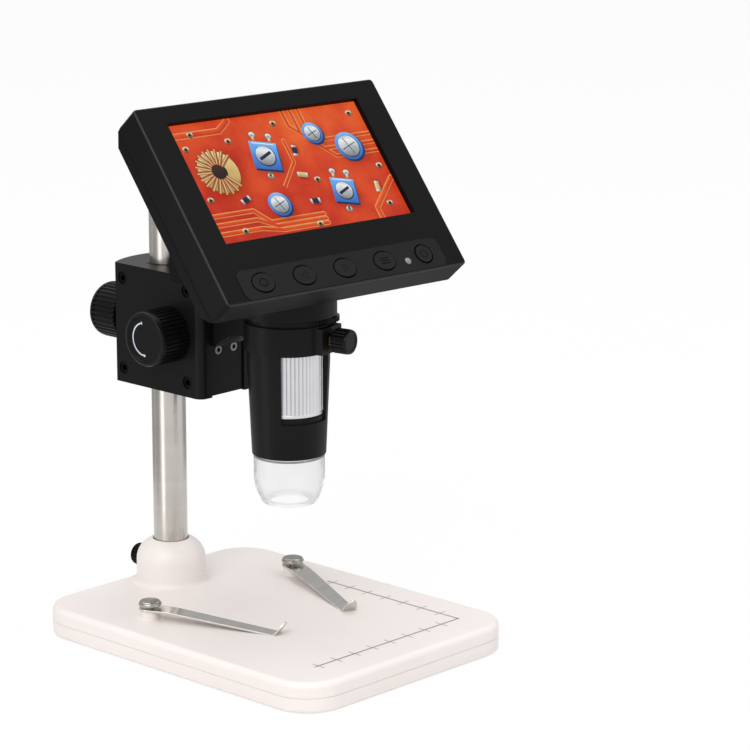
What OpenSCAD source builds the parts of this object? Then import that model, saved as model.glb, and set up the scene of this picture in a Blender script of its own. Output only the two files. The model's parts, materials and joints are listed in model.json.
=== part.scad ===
// Digital microscope with a tilted screen, on a column stand with a focusing carriage.
// Millimetres. Front is -Y, up is +Z, the origin is the middle of the base's sole.

/* [Base] */
// Width of the base, left to right
base_w = 118.6; // [110:0.1:160]
// Depth of the base, front to back
base_d = 155.6; // [150:0.1:220]
// Height of the base, sole to stage
base_h = 12.3; // [10.5:0.1:20]
// Corner radius of the base seen from above
base_corner = 17; // [8:0.5:25]
// Height of the seam between bottom cover and top shell
seam_z = 6.1; // [5:0.1:7]
// Fillet along the edge of the stage
base_edge = 2.5; // [1:0.1:3.5]
// Wall of the base mouldings
base_wall = 2.4; // [1.6:0.1:3.2]
// Diameter of an anti-slip pad
pad_d = 12; // [8:0.5:16]
// Thickness of an anti-slip pad
pad_t = 1; // [0.6:0.1:1.6]
// Pad centres, in from the sides of the base
pad_inset = 15; // [12:0.5:20]
// Base screw centres, in from the front and back of the base
base_screw_inset = 34; // [30:0.5:44]
// Diameter of a base screw's thread
base_screw_d = 3; // [2:0.1:4]

/* [Column] */
// Diameter of the column
column_d = 14; // [12:0.1:18]
// Wall of the column tube
column_wall = 1.2; // [0.8:0.1:2]
// Top of the column above the sole
column_top = 190; // [189:0.5:260]
// Column axis in from the back of the base
column_inset = 17.5; // [17:0.1:22]
// Diameter of the column socket on the base
dome_d = 28.6; // [24:0.1:34]
// Top of the column socket above the sole
dome_top = 31.3; // [29:0.1:40]
// Rounding of the top of the socket
dome_round = 9.4; // [3:0.1:12]
// Height of the base lock screw
base_lock_z = 19.6; // [18:0.1:23]
// Diameter of the base lock knob
base_lock_d = 9.4; // [8:0.1:11]
// Length of the base lock knob
base_lock_l = 5.4; // [4:0.1:8]
// Thread diameter of the base lock screw
base_lock_screw_d = 4; // [3:0.1:5]

/* [Stage clips] */
// Distance between the two clip posts
clip_span = 81; // [78:0.1:92]
// Clip posts in front of the column axis
clip_ahead = 30.8; // [26:0.1:34]
// Diameter of a clip post
clip_post_d = 8; // [7:0.1:9]
// Height of a clip post above the stage
clip_post_h = 4.2; // [3.5:0.1:6]
// Diameter of a clip's cap screw
clip_cap_d = 9.2; // [7.5:0.1:10]
// Height of a clip's cap screw
clip_cap_h = 2; // [1.5:0.1:4]
// Length of a clip from post to contact
clip_reach = 55; // [45:0.5:60]
// Thickness of the spring strip
clip_t = 0.8; // [0.5:0.05:1]
// Width of the strip at the post
clip_w = 8; // [7:0.1:10]
// Width of the strip at the contact
clip_tip_w = 6; // [4:0.1:7]
// Length of the turned up tip
clip_tip_l = 6.5; // [4:0.1:8]
// Angle of the turned up tip
clip_tip_angle = 52; // [30:1:70]
// Turn of each clip towards the middle
clip_turn = 21.2; // [0:0.1:30]

/* [Carriage] */
// Width of the carriage, left to right
carriage_w = 30.6; // [29:0.1:40]
// Height of the carriage
carriage_h = 49.4; // [46:0.1:60]
// Underside of the carriage above the sole
carriage_z = 98; // [96:0.1:99]
// Front of the carriage, from the column axis
carriage_reach = 35.3; // [35:0.1:38]
// Back edge of the carriage's sides, from the column axis
carriage_tail = 14.2; // [14:0.1:18]
// How far the back bulges out between the sides
crown = 4.2; // [2:0.1:6]
// Rounding of the carriage's front edges
carriage_round = 3.5; // [1:0.1:5]
// Wall of the bush that runs on the column
bush_wall = 0.8; // [0.6:0.05:1.2]
// How far the bush stands above and below the carriage
bush_stand = 0.3; // [0.1:0.1:1.5]
// Slit in the bush that lets it clamp
bush_slit = 1.6; // [0.8:0.1:3]
// Width of the collar that holds the bush in the carriage
bush_collar_h = 12; // [8:0.5:16]
// How far that collar stands out
bush_collar = 1.1; // [0.6:0.1:1.2]
// Spacing of the four side screws, both ways
side_screw_pitch = 37.4; // [36:0.1:38]
// Thread diameter of a side screw
side_screw_d = 2.5; // [2:0.1:2.6]
// Head diameter of a side screw
side_screw_head_d = 5; // [4:0.1:5.5]
// Diameter of the rear lock knob
rear_knob_d = 23; // [18:0.1:28]
// Length of the rear lock knob
rear_knob_l = 14.6; // [8:0.1:18]
// Length of the plain hub in front of the rear lock knob
rear_hub_l = 1.8; // [0.5:0.1:3]
// Thread diameter of the rear lock screw
rear_screw_d = 6; // [4:0.1:6.5]
// Width across the flats of the clamp nut
clamp_nut_w = 10; // [8:0.1:11]
// Thickness of the clamp nut
clamp_nut_t = 4; // [2.5:0.1:4.5]

/* [Focus slide] */
// Width of the ring holder's plate between the lips
plate_w = 17.5; // [16:0.1:18.5]
// Width of the slide behind the lips
slide_w = 22.5; // [21:0.1:23]
// Thickness of the slide
slide_t = 4.7; // [4:0.1:6]
// Height of slide and plate
slide_h = 48.5; // [44:0.1:50]
// Thickness of the carriage's front lips
lip_t = 4; // [3:0.1:4.5]
// How far the plate lies behind the lips
plate_recess = 0.8; // [0.3:0.1:1.5]
// Gear module of rack and pinion
gear_module = 0.8; // [0.7:0.05:0.85]
// Teeth on the pinion
pinion_teeth = 12; // [12:1:13]
// Width of the pinion
pinion_w = 9; // [6:0.1:11]
// Width of the rack
rack_w = 7; // [5:0.1:9]
// Thickness of the rack behind its teeth
rack_t = 2.5; // [1.5:0.1:3]
// Diameter of the focus shaft
shaft_d = 6; // [4:0.1:6.2]
// Diameter of a focus knob
focus_knob_d = 22.5; // [18:0.1:28]
// Length of a focus knob
focus_knob_l = 14.4; // [10:0.1:20]
// Gap between a knob and the side it turns against
knob_gap = 0.5; // [0.3:0.1:1.5]
// Distance between the two hex screws on the plate
hex_screw_pitch = 8.5; // [7:0.1:9]
// Hex screws above the middle of the slide travel, downwards negative
hex_screw_z = -6; // [-9:0.1:-5.5]
// Head diameter of a hex screw
hex_screw_head_d = 3.8; // [3:0.1:4.5]

/* [Ring holder] */
// Microscope axis in front of the column axis
tube_reach = 69.54; // [68:0.1:76]
// Height of the ring
ring_h = 11; // [9:0.1:12]
// Underside of the ring above the sole
ring_z = 122.8; // [122.4:0.1:123.4]
// Wall of the ring
ring_wall = 1.25; // [1:0.05:2]
// Radius of the hollow under the arm
arm_hollow_r = 20; // [18:0.5:24]
// Underside of the arm where it meets the ring, above the ring's underside
arm_rise = 3; // [1:0.1:4]
// Width of the clamp boss
boss_w = 14; // [10:0.1:16]
// Front of the clamp boss from the tube axis
boss_reach = 20.2; // [19.5:0.1:23]
// Turn of the clamp boss from straight ahead to the right
boss_turn = 12; // [-20:1:20]
// Diameter of the clamp knob
clamp_knob_d = 10; // [8:0.1:10.8]
// Length of the clamp knob
clamp_knob_l = 7; // [5:0.1:10]
// Bare thread between boss and clamp knob
clamp_bare = 2; // [0.5:0.1:4]
// Thread diameter of the clamp screw
clamp_screw_d = 5; // [3:0.1:6]

/* [Tube] */
// Turn of the microscope in the ring
head_turn = -5.24; // [-8:0.01:8]
// Diameter of the tube in the ring
tube_d = 32.8; // [32.4:0.1:34]
// Diameter of the tube's lower end
tube_tip_d = 29.5; // [29.2:0.1:31]
// Lower end of the tube above the sole
tube_z = 80.3; // [79.5:0.1:82]
// Height above the sole where the taper ends
taper_z = 118; // [112:0.5:121]
// Diameter of the tube's main bore
tube_bore_d = 28.8; // [28.6:0.1:29]
// Diameter of the bore that takes the clear cap
cap_bore_d = 26.4; // [26:0.1:26.6]
// Underside of the shelf in the tube above the sole
shelf_z = 95; // [94.5:0.1:95.4]
// Thickness of that shelf
shelf_t = 1.7; // [1.2:0.1:1.8]
// Diameter of the opening in the shelf
shelf_d = 22.4; // [22:0.1:23]
// Angle across the focus wheel's window
window_angle = 82; // [40:1:100]
// Turn of the window from straight ahead to the left
window_turn = 10; // [0:1:40]
// Height of the window
window_h = 25.4; // [20:0.1:25.6]
// How far the tube is cut away under the window, outside the wheel
sill_drop = 2.2; // [0.5:0.1:4]
// Diameter of the focus wheel
wheel_d = 28.2; // [27.8:0.1:28.3]
// Height of the focus wheel
wheel_h = 25.1; // [22:0.1:25.2]
// Ribs round the focus wheel
wheel_ribs = 60; // [36:1:72]
// Bore of the focus wheel
wheel_bore_d = 23.2; // [23:0.1:24]
// Length of the lens barrel
barrel_l = 18; // [15:0.1:19]
// Diameter of the objective lens
lens_d = 16.9; // [14:0.1:17]
// Thickness of the objective lens in the middle
lens_t = 4; // [3.4:0.1:5]
// Height of the sensor holder
holder_h = 9.1; // [7:0.1:9.2]
// Thickness of the sensor and lamp boards
board_t = 1.4; // [1:0.1:1.6]
// Circle of the LED lamps
lamp_circle_d = 19.2; // [17:0.1:20]
// Diameter of a LED lamp
lamp_d = 3.2; // [2.5:0.1:3.6]
// Number of LED lamps
lamp_count = 8; // [6:1:8]
// Outer diameter of the lens baffle
baffle_d = 11.9; // [10:0.1:12.5]
// Length of the lens baffle below the board's top
baffle_l = 9; // [6:0.1:9.5]

/* [Clear cap] */
// Diameter of the cap at the tube
cap_d = 28.4; // [27:0.1:29]
// Length of the cap below the tube
cap_l = 20.1; // [16:0.1:21]
// Straight part of the cap below the tube
cap_straight = 8; // [4:0.1:10]
// Diameter of the cap at its mouth
cap_mouth_d = 21.4; // [19:0.1:24]
// Wall of the cap
cap_wall = 1.3; // [0.9:0.1:1.6]
// Opening in the cap's inner flange
cap_hole_d = 16.4; // [14:0.1:17]
// Length of the cap's spigot in the tube
spigot_l = 7.7; // [5:0.1:8]

/* [Neck and dimmer] */
// Diameter of the neck collar
neck_d = 38.5; // [37:0.1:40]
// Gap between ring and neck collar
neck_gap = 2.5; // [2.3:0.1:3.5]
// Underside of the rear housing above the sole
housing_z = 151.6; // [151:0.1:154]
// Diameter of the dimmer wheel
dimmer_d = 20.4; // [20:0.1:21]
// How far the dimmer wheel stands out from the tube axis
dimmer_reach = 20.2; // [19.8:0.1:20.6]
// Turn of the dimmer wheel from straight ahead to the right
dimmer_turn = 45; // [20:1:70]
// Thickness of the dimmer wheel
dimmer_t = 1.9; // [1.5:0.1:1.9]
// Diameter of the dimmer control
dimmer_pot_d = 8.2; // [7:0.1:8.2]

/* [Monitor] */
// Width of the monitor's face
face_w = 120.2; // [118:0.1:140]
// Height of the monitor's face
face_h = 87.5; // [86:0.1:100]
// Depth of the bezel's side band
bezel_depth = 12.3; // [11.5:0.1:14]
// Depth of the whole monitor
monitor_depth = 17.5; // [17:0.1:20]
// How far the rear chamfers draw in
rear_chamfer = 6; // [3:0.1:8]
// Corner radius of the face
face_corner = 1.6; // [1:0.1:5]
// Wall of the monitor's shells
shell_wall = 2; // [1.5:0.1:2.4]
// Thickness of the bezel's front plate
front_t = 2.4; // [1.8:0.1:2.6]
// How far the screen's face looks up
screen_tilt = 40.3; // [36:0.1:44]
// Face centre in front of the tube axis
face_reach = 12.1; // [11.5:0.1:14]
// Face centre above the sole
face_z = 188.25; // [187:0.1:190]
// Face centre to the right of the tube axis
face_offset = -2.2; // [-5:0.1:5]
// Width of the picture
picture_w = 95.04; // [90:0.01:96]
// Height of the picture
picture_h = 53.86; // [50:0.01:54]
// Frame of the face above the picture
picture_top = 7.87; // [6.5:0.01:9]
// Space beside the screen panel, for the screw posts
panel_side = 5.4; // [5.1:0.05:6.5]
// Gap between the screen panel and the buttons below it
panel_gap = 3.63; // [0.5:0.01:6]
// Thickness of the screen panel
panel_t = 2.9; // [2:0.1:3.2]
// Frame of the panel above the picture
panel_top = 3.1; // [2:0.1:4]
// Width of the rear housing
housing_w = 80; // [70:0.5:90]
// Back of the rear housing behind the tube axis
housing_back = 21; // [20:0.1:24]

/* [Buttons] */
// Distance between the oval buttons
button_pitch = 20.2; // [16:0.1:20.6]
// First oval button from the middle of the face
button_first = -39.8; // [-42:0.1:-38]
// Gap between the buttons' flanges and the lower wall
button_gap = 0.2; // [0.1:0.05:1]
// Width of an oval button
button_w = 10.9; // [9:0.1:11.5]
// Height of an oval button
button_h = 8.3; // [7:0.1:8.6]
// Diameter of the power button
power_d = 8; // [7:0.1:8.6]
// Power button from the middle of the face
power_x = 41.1; // [40.5:0.1:43]
// Status light from the middle of the face
light_x = 32.2; // [31.6:0.1:33]
// Status light below the middle of the buttons
light_drop = 1.7; // [0:0.1:2.2]
// Diameter of the status light
light_d = 3; // [2:0.1:3.4]
// Travel of a button
button_travel = 0.8; // [0.3:0.1:1]
// How far a button stands out of the face
button_stand = 0.5; // [0.3:0.1:0.8]
// Width of the raised strip round the buttons
strip_w = 101; // [98:0.1:112]
// Height of that strip
strip_h = 12.6; // [11:0.1:13]
// Corner radius of that strip
strip_corner = 3; // [1:0.1:5]
// How far the strip stands out of the face
strip_t = 0.25; // [0.1:0.05:0.3]

/* [Clearances] */
// Running clearance on a radius
run_gap = 0.05; // [0.03:0.01:0.1]
// Sliding clearance of guides
guide_gap = 0.15; // [0.1:0.01:0.3]
// Plain gap between pieces that move past each other
free_gap = 0.3; // [0.2:0.05:0.4]
// Backlash of rack and pinion
backlash = 0.2; // [0.12:0.01:0.3]

/* [Hidden] */

$fn = 64;
through = 1;
overlap = 0.2;
floor_t = base_wall;
stage_t = base_wall + 0.2;
base_boss_d = base_screw_d + 5;
base_screw_x = base_w / 2 - pad_inset;
base_screw_y = base_d / 2 - base_screw_inset;
base_head_d = base_screw_d * 1.9;
base_head_t = 1.6;
column_y = base_d / 2 - column_inset;
column_r = column_d / 2;
dome_r = dome_d / 2;
socket_r = column_r + run_gap;
plug_t = 1.2;
plug_depth = 8;
base_lock_r = base_lock_screw_d / 2;
base_lock_y = column_y + dome_r + free_gap * 2;

clip_y = column_y - clip_ahead;
clip_post_z = base_h + clip_post_h;
clip_gap = 0.1;
clip_screw_r = 1.5;
clip_centre_z = clip_post_z + clip_gap + clip_t / 2;
clip_bend = clip_post_d / 2 + 6;
clip_drop = clip_centre_z - base_h - free_gap - clip_t / 2;
clip_screw_depth = 7;

carriage_front = column_y - carriage_reach;
carriage_side = column_y + carriage_tail;
carriage_back = carriage_side + crown;
crown_r = (pow(carriage_w / 2, 2) + crown * crown) / (2 * crown);
carriage_top = carriage_z + carriage_h;
carriage_mid = carriage_z + carriage_h / 2;
lip_back = carriage_front + lip_t;
plate_front = carriage_front + plate_recess;
slide_front = lip_back + guide_gap;
slide_back = slide_front + slide_t;
groove_back = slide_back + guide_gap;
slide_z = carriage_mid - slide_h / 2;

pressure_angle = 25;
pitch_r = gear_module * pinion_teeth / 2;
addendum = gear_module * 0.8;
dedendum = gear_module * 1.05;
tip_r = pitch_r + addendum;
root_r = pitch_r - dedendum;
gear_base_r = pitch_r * cos(pressure_angle);
tooth_pitch = PI * gear_module;
rack_root_y = slide_back + rack_t;
rack_pitch_y = rack_root_y + dedendum;
rack_tip_y = rack_pitch_y + addendum;
rack_inset = 2;
shaft_y = rack_pitch_y + pitch_r;
shaft_z = carriage_mid;
shaft_r = shaft_d / 2;
gear_space = max(pinion_w, rack_w) / 2 + 2 * free_gap;
gear_back = shaft_y + tip_r + 2 * free_gap;

bush_bore = column_r + run_gap;
bush_r = bush_bore + bush_wall;
bush_seat = bush_r + run_gap;
bush_collar_r = bush_r + bush_collar;
side_screw_land = 0.8;
side_screw_back = column_y + bush_seat + side_screw_d / 2 + side_screw_land;
side_screw_front = side_screw_back - side_screw_pitch;
side_head_t = 1.8;
side_head_sink = 0.4;
side_screw_reach = 9;
side_wall = carriage_w / 2 - slide_w / 2 - guide_gap;
rear_screw_r = rear_screw_d / 2;
rear_screw_tip = column_y + bush_collar_r + free_gap;
rear_hub_y = carriage_back + knob_gap;
rear_hub_r = rear_screw_r + 2.5;
rear_knob_y = rear_hub_y + rear_hub_l;
clamp_nut_y = rear_screw_tip + 1;

tube_y = column_y - tube_reach;
tube_r = tube_d / 2;
ring_bore = tube_r + run_gap;
ring_r = ring_bore + ring_wall;
ring_top = ring_z + ring_h;
ring_mid = ring_z + ring_h / 2;
hollow_top = ring_z + arm_rise;
step = 0.3;
clamp_r = clamp_screw_d / 2;
clamp_knob_at = boss_reach + clamp_bare;
hex_z = carriage_mid + hex_screw_z;
hex_head_t = 1.4;
hex_sink = 0.2;
hex_seat = plate_front + hex_head_t + hex_sink;
hex_screw_r = hex_screw_head_d / 2 - 0.9;
hex_screw_l = 5;

bore_r = tube_bore_d / 2;
cap_bore = cap_bore_d / 2;
shelf_top = shelf_z + shelf_t;
shelf_r = shelf_d / 2;
wheel_z = shelf_top + free_gap;
wheel_r = wheel_d / 2;
wheel_bore = wheel_bore_d / 2;
rib_depth = 0.5;
window_z = shelf_top + 0.2;
holder_z = wheel_z + wheel_h + free_gap;
holder_r = bore_r - run_gap;
holder_bore = 11;
sensor_size = 8;
sensor_t = 1;
sensor_z = holder_z + holder_h;
barrel_r = wheel_bore - 2 * run_gap;
barrel_z = wheel_z + (wheel_h - barrel_l) / 2;
lens_r = lens_d / 2;
barrel_bore = lens_r + run_gap;
barrel_lip = lens_r - 1.4;
lens_z = barrel_z + 1.5;
lens_edge = 1.4;
lens_bulge = (lens_t - lens_edge) / 2;
lens_ball = (lens_r * lens_r + lens_bulge * lens_bulge) / (2 * lens_bulge);
lamp_board_z = shelf_z - board_t;
lamp_board_r = cap_bore - 0.1;
lamp_r = lamp_d / 2;
lamp_l = lamp_d + 0.2;
baffle_r = baffle_d / 2;
baffle_wall = 1;
baffle_flange_r = shelf_r - 0.1;
baffle_flange_t = 1.4;
led_screw_r = 0.7;
led_screw_circle = (shelf_r + cap_bore) / 2;

cap_top = tube_z - guide_gap;
cap_r = cap_d / 2;
cap_z = tube_z - cap_l;
cap_mouth_r = cap_mouth_d / 2;
cap_curve_l = cap_l - cap_straight;
cap_curve_in = cap_r - cap_mouth_r;
cap_curve_r = (cap_curve_l * cap_curve_l + cap_curve_in * cap_curve_in) / (2 * cap_curve_in);
cap_curve_z = cap_z + cap_curve_l;
spigot_r = cap_bore - run_gap;
cap_flange_t = 1.2;
cap_notches = 3;
cap_notch_w = 4;

neck_z = ring_top + neck_gap;
neck_r = neck_d / 2;
neck_screw_r = 0.9;
neck_screw_circle = (tube_r + neck_r) / 2;
neck_screw_l = 6;
dimmer_z = ring_top + free_gap;
dimmer_r = dimmer_d / 2;
dimmer_at = dimmer_reach - dimmer_r;
dimmer_pin_r = 1;
dimmer_pot_z = dimmer_z + dimmer_t + free_gap;
dimmer_pot_h = 4.5;

rear_plate_h = face_h - 2 * rear_chamfer;
picture_rise = face_h / 2 - picture_top - picture_h / 2;
button_flange = 0.8;
row_half = max(button_h, power_d) / 2 + button_flange;
button_drop = face_h / 2 - shell_wall - button_gap - row_half;
panel_high = picture_rise + picture_h / 2 + panel_top;
panel_low = row_half + panel_gap - button_drop;
panel_w = face_w - 2 * shell_wall - 2 * panel_side;
post_r = 2.2;
rear_post_r = post_r + 0.4;
post_x = face_w / 2 - shell_wall - rear_post_r - 0.1;
post_top_gap = 5.45;
post_row_gap = 7.35;
post_high = face_h / 2 - shell_wall - post_top_gap;
post_low = row_half + post_row_gap - button_drop;
post_screw_r = 1.1;
main_board_z = front_t + panel_t + 1.7;
main_board_t = 1.6;
main_board_w = face_w - 2 * shell_wall - 2;
main_board_h = post_high - post_low + 5;
main_board_y = (post_high + post_low) / 2;
button_xs = [for (i = [0:3]) button_first + i * button_pitch];
button_flange_t = 1;
button_stem_r = 1.5;
button_back = front_t + free_gap + button_flange_t;
button_stem_l = 1.2;
switch_w = 6;
switch_top = button_back + button_stem_l + button_travel + 0.1;
button_board_z = switch_top + 2.2;
button_board_t = 1.4;
button_board_h = 2 * row_half - 2 * guide_gap;
button_board_w = 94;
button_post_x = [button_first + button_pitch / 2, button_first + 2.5 * button_pitch];
light_r = light_d / 2;

back_plane_y = -face_reach + monitor_depth * cos(screen_tilt);
back_plane_z = face_z - monitor_depth * sin(screen_tilt);
wedge_low = (housing_z - back_plane_z) / cos(screen_tilt);
wedge_high = (housing_back - back_plane_y) / sin(screen_tilt);
battery_d = 18.4;
battery_l = 49.5;
battery_x = face_offset - housing_w / 2 + shell_wall + 2 + battery_l / 2;
battery_y = housing_back - shell_wall - battery_d / 2 - 0.6;
battery_z = housing_z + shell_wall + battery_d / 2 + 1.4;
cradle_x = battery_l / 3;
cradle_t = 3;
port_side = housing_w / 2 - shell_wall;
port_board_z = housing_z + shell_wall + 4;
port_board_l = 15;
port_board_w = 26;
port_board_y = -2;
port_board_t = 1.6;
port_post_y = 7;
port_post_in = 10;
usb_w = 7.8;
usb_h = 3;
usb_l = 5.6;
usb_y = -8;
card_w = 14;
card_h = 1.9;
card_y = 5;
pinhole_r = 0.6;
pinhole_y = 16;
pinhole_z = housing_z + 6;

black = [0.12, 0.12, 0.13];
soft_black = [0.17, 0.17, 0.18];
warm_white = [0.93, 0.9, 0.88];
steel = [0.75, 0.75, 0.74];
nickel = [0.82, 0.81, 0.78];
brass = [0.72, 0.58, 0.3];
board_green = [0.1, 0.35, 0.2];

// Places shared by the pieces

module at_column() {
    translate([0, column_y, 0]) children();
}

module at_tube() {
    translate([0, tube_y, 0]) children();
}

module at_head() {
    at_tube() rotate([0, 0, head_turn]) children();
}

// Screen frame: x to the right, y up the face, z out of the face
module at_face() {
    at_head() translate([face_offset, -face_reach, face_z]) rotate([90 - screen_tilt, 0, 0]) children();
}

// Shapes shared by the pieces

module rounded_rect(w, h, r) {
    square([w - 2 * r, h], center = true);
    square([w, h - 2 * r], center = true);
    for (x = [-1, 1], y = [-1, 1])
        translate([x * (w / 2 - r), y * (h / 2 - r)]) circle(r);
}

module oval(w, h) {
    intersection() {
        translate([0, -oval_r(w, h) + h / 2]) circle(oval_r(w, h));
        translate([0, oval_r(w, h) - h / 2]) circle(oval_r(w, h));
        square([w * 0.94, h], center = true);
    }
}

function oval_r(w, h) = (w * w + h * h) / (4 * h);

module ribbed(r, depth, ribs) {
    polygon([for (i = [0:2 * ribs - 1]) let (a = i * 180 / ribs, d = (i % 2 == 0) ? r : r - depth)
        [d * cos(a), d * sin(a)]]);
}

// A knob that stands on z = 0: ribbed grip, plain collar and a dished face
module knob(d, l, ribs) {
    rim = d / 2;
    difference() {
        union() {
            linear_extrude(l - 1) ribbed(rim, 0.6, ribs);
            cylinder(r = rim - 0.8, h = l);
        }
        translate([0, 0, l - 0.6]) cylinder(r = rim - 2.2, h = through);
    }
}

module tube_body(r, bore, h) {
    difference() {
        cylinder(r = r, h = h);
        translate([0, 0, -through]) cylinder(r = bore, h = h + 2 * through);
    }
}

// A flat screw that stands on z = 0 with its thread going down
module flat_screw(head_r, head_t, thread_r, thread_l) {
    difference() {
        cylinder(r = head_r, h = head_t);
        translate([0, 0, head_t * 0.4]) cylinder(r = head_r * 0.5, h = head_t, $fn = 6);
    }
    translate([0, 0, -thread_l]) cylinder(r = thread_r, h = thread_l + head_t * 0.2);
}

module along_x() {
    rotate([0, 90, 0]) children();
}

module along_y() {
    rotate([-90, 0, 0]) children();
}

module corners(x, y) {
    for (sx = [-1, 1], sy = [-1, 1]) translate([sx * x, sy * y, 0]) children();
}

// Stand

module base_puck(z0, z1, low_edge, high_edge) {
    rotate_extrude($fn = 48) difference() {
        translate([0, z0]) square([base_corner, z1 - z0]);
        if (high_edge > 0) translate([base_corner - high_edge, z1 - high_edge]) difference() {
            square(high_edge + through);
            circle(high_edge, $fn = 32);
        }
        if (low_edge > 0) translate([base_corner - low_edge, z0 + low_edge]) difference() {
            mirror([0, 1]) square(low_edge + through);
            circle(low_edge, $fn = 32);
        }
    }
}

module base_slab(z0, z1, low_edge, high_edge) {
    hull() corners(base_w / 2 - base_corner, base_d / 2 - base_corner)
        base_puck(z0, z1, low_edge, high_edge);
}

module base_hollow(z0, z1) {
    translate([0, 0, z0]) linear_extrude(z1 - z0)
        rounded_rect(base_w - 2 * base_wall, base_d - 2 * base_wall, base_corner - base_wall);
}

module dome_profile() {
    translate([0, seam_z]) square([dome_r, dome_top - dome_round - seam_z]);
    translate([0, seam_z]) square([dome_r - dome_round, dome_top - seam_z]);
    intersection() {
        translate([0, seam_z]) square([dome_r, dome_top - seam_z]);
        translate([dome_r - dome_round, dome_top - dome_round]) circle(dome_round);
    }
}

module base_top_shell() {
    color(warm_white) difference() {
        union() {
            difference() {
                base_slab(seam_z, base_h, 0, base_edge);
                base_hollow(seam_z - through, base_h - stage_t);
            }
            at_column() rotate_extrude() dome_profile();
            corners(base_screw_x, base_screw_y) translate([0, 0, seam_z])
                cylinder(d = base_boss_d, h = base_h - stage_t - seam_z + overlap);
            for (s = [-1, 1]) translate([s * clip_span / 2, clip_y, base_h - stage_t])
                cylinder(d = clip_post_d, h = stage_t + clip_post_h);
        }
        at_column() translate([0, 0, seam_z - through]) cylinder(r = socket_r, h = dome_top);
        corners(base_screw_x, base_screw_y) translate([0, 0, seam_z - through])
            cylinder(d = base_screw_d + 2 * run_gap, h = through + base_h - stage_t - seam_z);
        for (s = [-1, 1]) translate([s * clip_span / 2, clip_y, clip_post_z - clip_screw_depth])
            cylinder(r = clip_screw_r + run_gap, h = clip_screw_depth + through);
        translate([0, column_y, base_lock_z]) along_y() cylinder(r = base_lock_r + run_gap, h = dome_d);
    }
}

module base_bottom_cover() {
    color(warm_white) difference() {
        union() {
            difference() {
                base_slab(0, seam_z, base_edge * 0.6, 0);
                base_hollow(floor_t, seam_z + through);
            }
            corners(base_screw_x, base_screw_y) cylinder(d = base_boss_d, h = seam_z);
            at_column() cylinder(r = column_r + 2, h = seam_z);
        }
        corners(base_screw_x, base_screw_y) {
            translate([0, 0, -through]) cylinder(d = base_screw_d + 2 * guide_gap, h = seam_z + 2 * through);
            translate([0, 0, -through])
                cylinder(d = base_head_d + 2 * guide_gap, h = base_head_t + through + 0.4);
        }
        corners(base_w / 2 - pad_inset, base_d / 2 - pad_inset) translate([0, 0, -through])
            cylinder(d = pad_d + 2 * run_gap, h = pad_t + through);
    }
}

module sole_pads() {
    color(soft_black) corners(base_w / 2 - pad_inset, base_d / 2 - pad_inset) cylinder(d = pad_d, h = pad_t);
}

module base_screws() {
    color(steel) corners(base_screw_x, base_screw_y) translate([0, 0, base_head_t + 0.4]) mirror([0, 0, 1])
        flat_screw(base_head_d / 2, base_head_t, base_screw_d / 2, base_h - stage_t - base_head_t - 1);
}

module column() {
    color(steel) at_column() translate([0, 0, seam_z])
        tube_body(column_r, column_r - column_wall, column_top - plug_t - seam_z);
}

module column_plug() {
    color(soft_black) at_column() translate([0, 0, column_top - plug_t]) {
        cylinder(r = column_r, h = plug_t);
        translate([0, 0, -plug_depth]) cylinder(r = column_r - column_wall - run_gap, h = plug_depth + 0.1);
    }
}

module base_lock_knob() {
    color(black) translate([0, base_lock_y, base_lock_z]) along_y() difference() {
        knob(base_lock_d, base_lock_l, 18);
        translate([0, 0, -through]) cylinder(r = base_lock_r, h = base_lock_l - 1);
    }
}

module base_lock_screw() {
    tip = column_y + column_r + clip_gap;
    color(steel) translate([0, tip, base_lock_z]) along_y()
        cylinder(r = base_lock_r, h = base_lock_y - tip + base_lock_l - 2);
}

// Stage clips: a bent spring strip, cut to its outline seen from above

function unit(v) = v / norm(v);

function aside(v) = [-v.y, v.x];

// Corner of the strip's surface at b, on the way from a to c
function mitre(a, b, c, half) = let (p = aside(unit(b - a)), q = aside(unit(c - b)))
    b + half * (p + q) / (1 + p * q);

module clip_profile() {
    heel = [-clip_cap_d, 0];
    bend = [clip_bend, 0];
    touch = [clip_reach, -clip_drop];
    tip = touch + 2 * clip_tip_l * [cos(clip_tip_angle), sin(clip_tip_angle)];
    half = clip_t / 2;
    at_heel = half * aside(unit(bend - heel));
    at_tip = half * aside(unit(tip - touch));
    polygon([heel + at_heel, mitre(heel, bend, touch, half), mitre(bend, touch, tip, half), tip + at_tip,
        tip - at_tip, mitre(bend, touch, tip, -half), mitre(heel, bend, touch, -half), heel - at_heel]);
}

module clip_outline() {
    root = clip_cap_d / 2 - 0.1;
    tip_r = clip_tip_w / 2;
    end = clip_reach + clip_tip_l * cos(clip_tip_angle) - tip_r;
    difference() {
        polygon(concat([for (i = [0:16]) let (a = 75 + i * 210 / 16) root * [cos(a), sin(a)]],
            [[clip_cap_d, -clip_w / 2]],
            [for (i = [0:12]) let (a = i * 15 - 90) [end, 0] + tip_r * [cos(a), sin(a)]],
            [[clip_cap_d, clip_w / 2]]));
        circle(clip_screw_r + 2 * run_gap);
    }
}

module stage_clip(side) {
    translate([side * clip_span / 2, clip_y, clip_centre_z]) rotate([0, 0, -side * clip_turn - 90])
        intersection() {
            rotate([90, 0, 0]) linear_extrude(2 * clip_w, center = true) clip_profile();
            linear_extrude(6 * clip_post_h, center = true) clip_outline();
        }
}

module left_stage_clip() {
    color(nickel) stage_clip(-1);
}

module right_stage_clip() {
    color(nickel) stage_clip(1);
}

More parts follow.
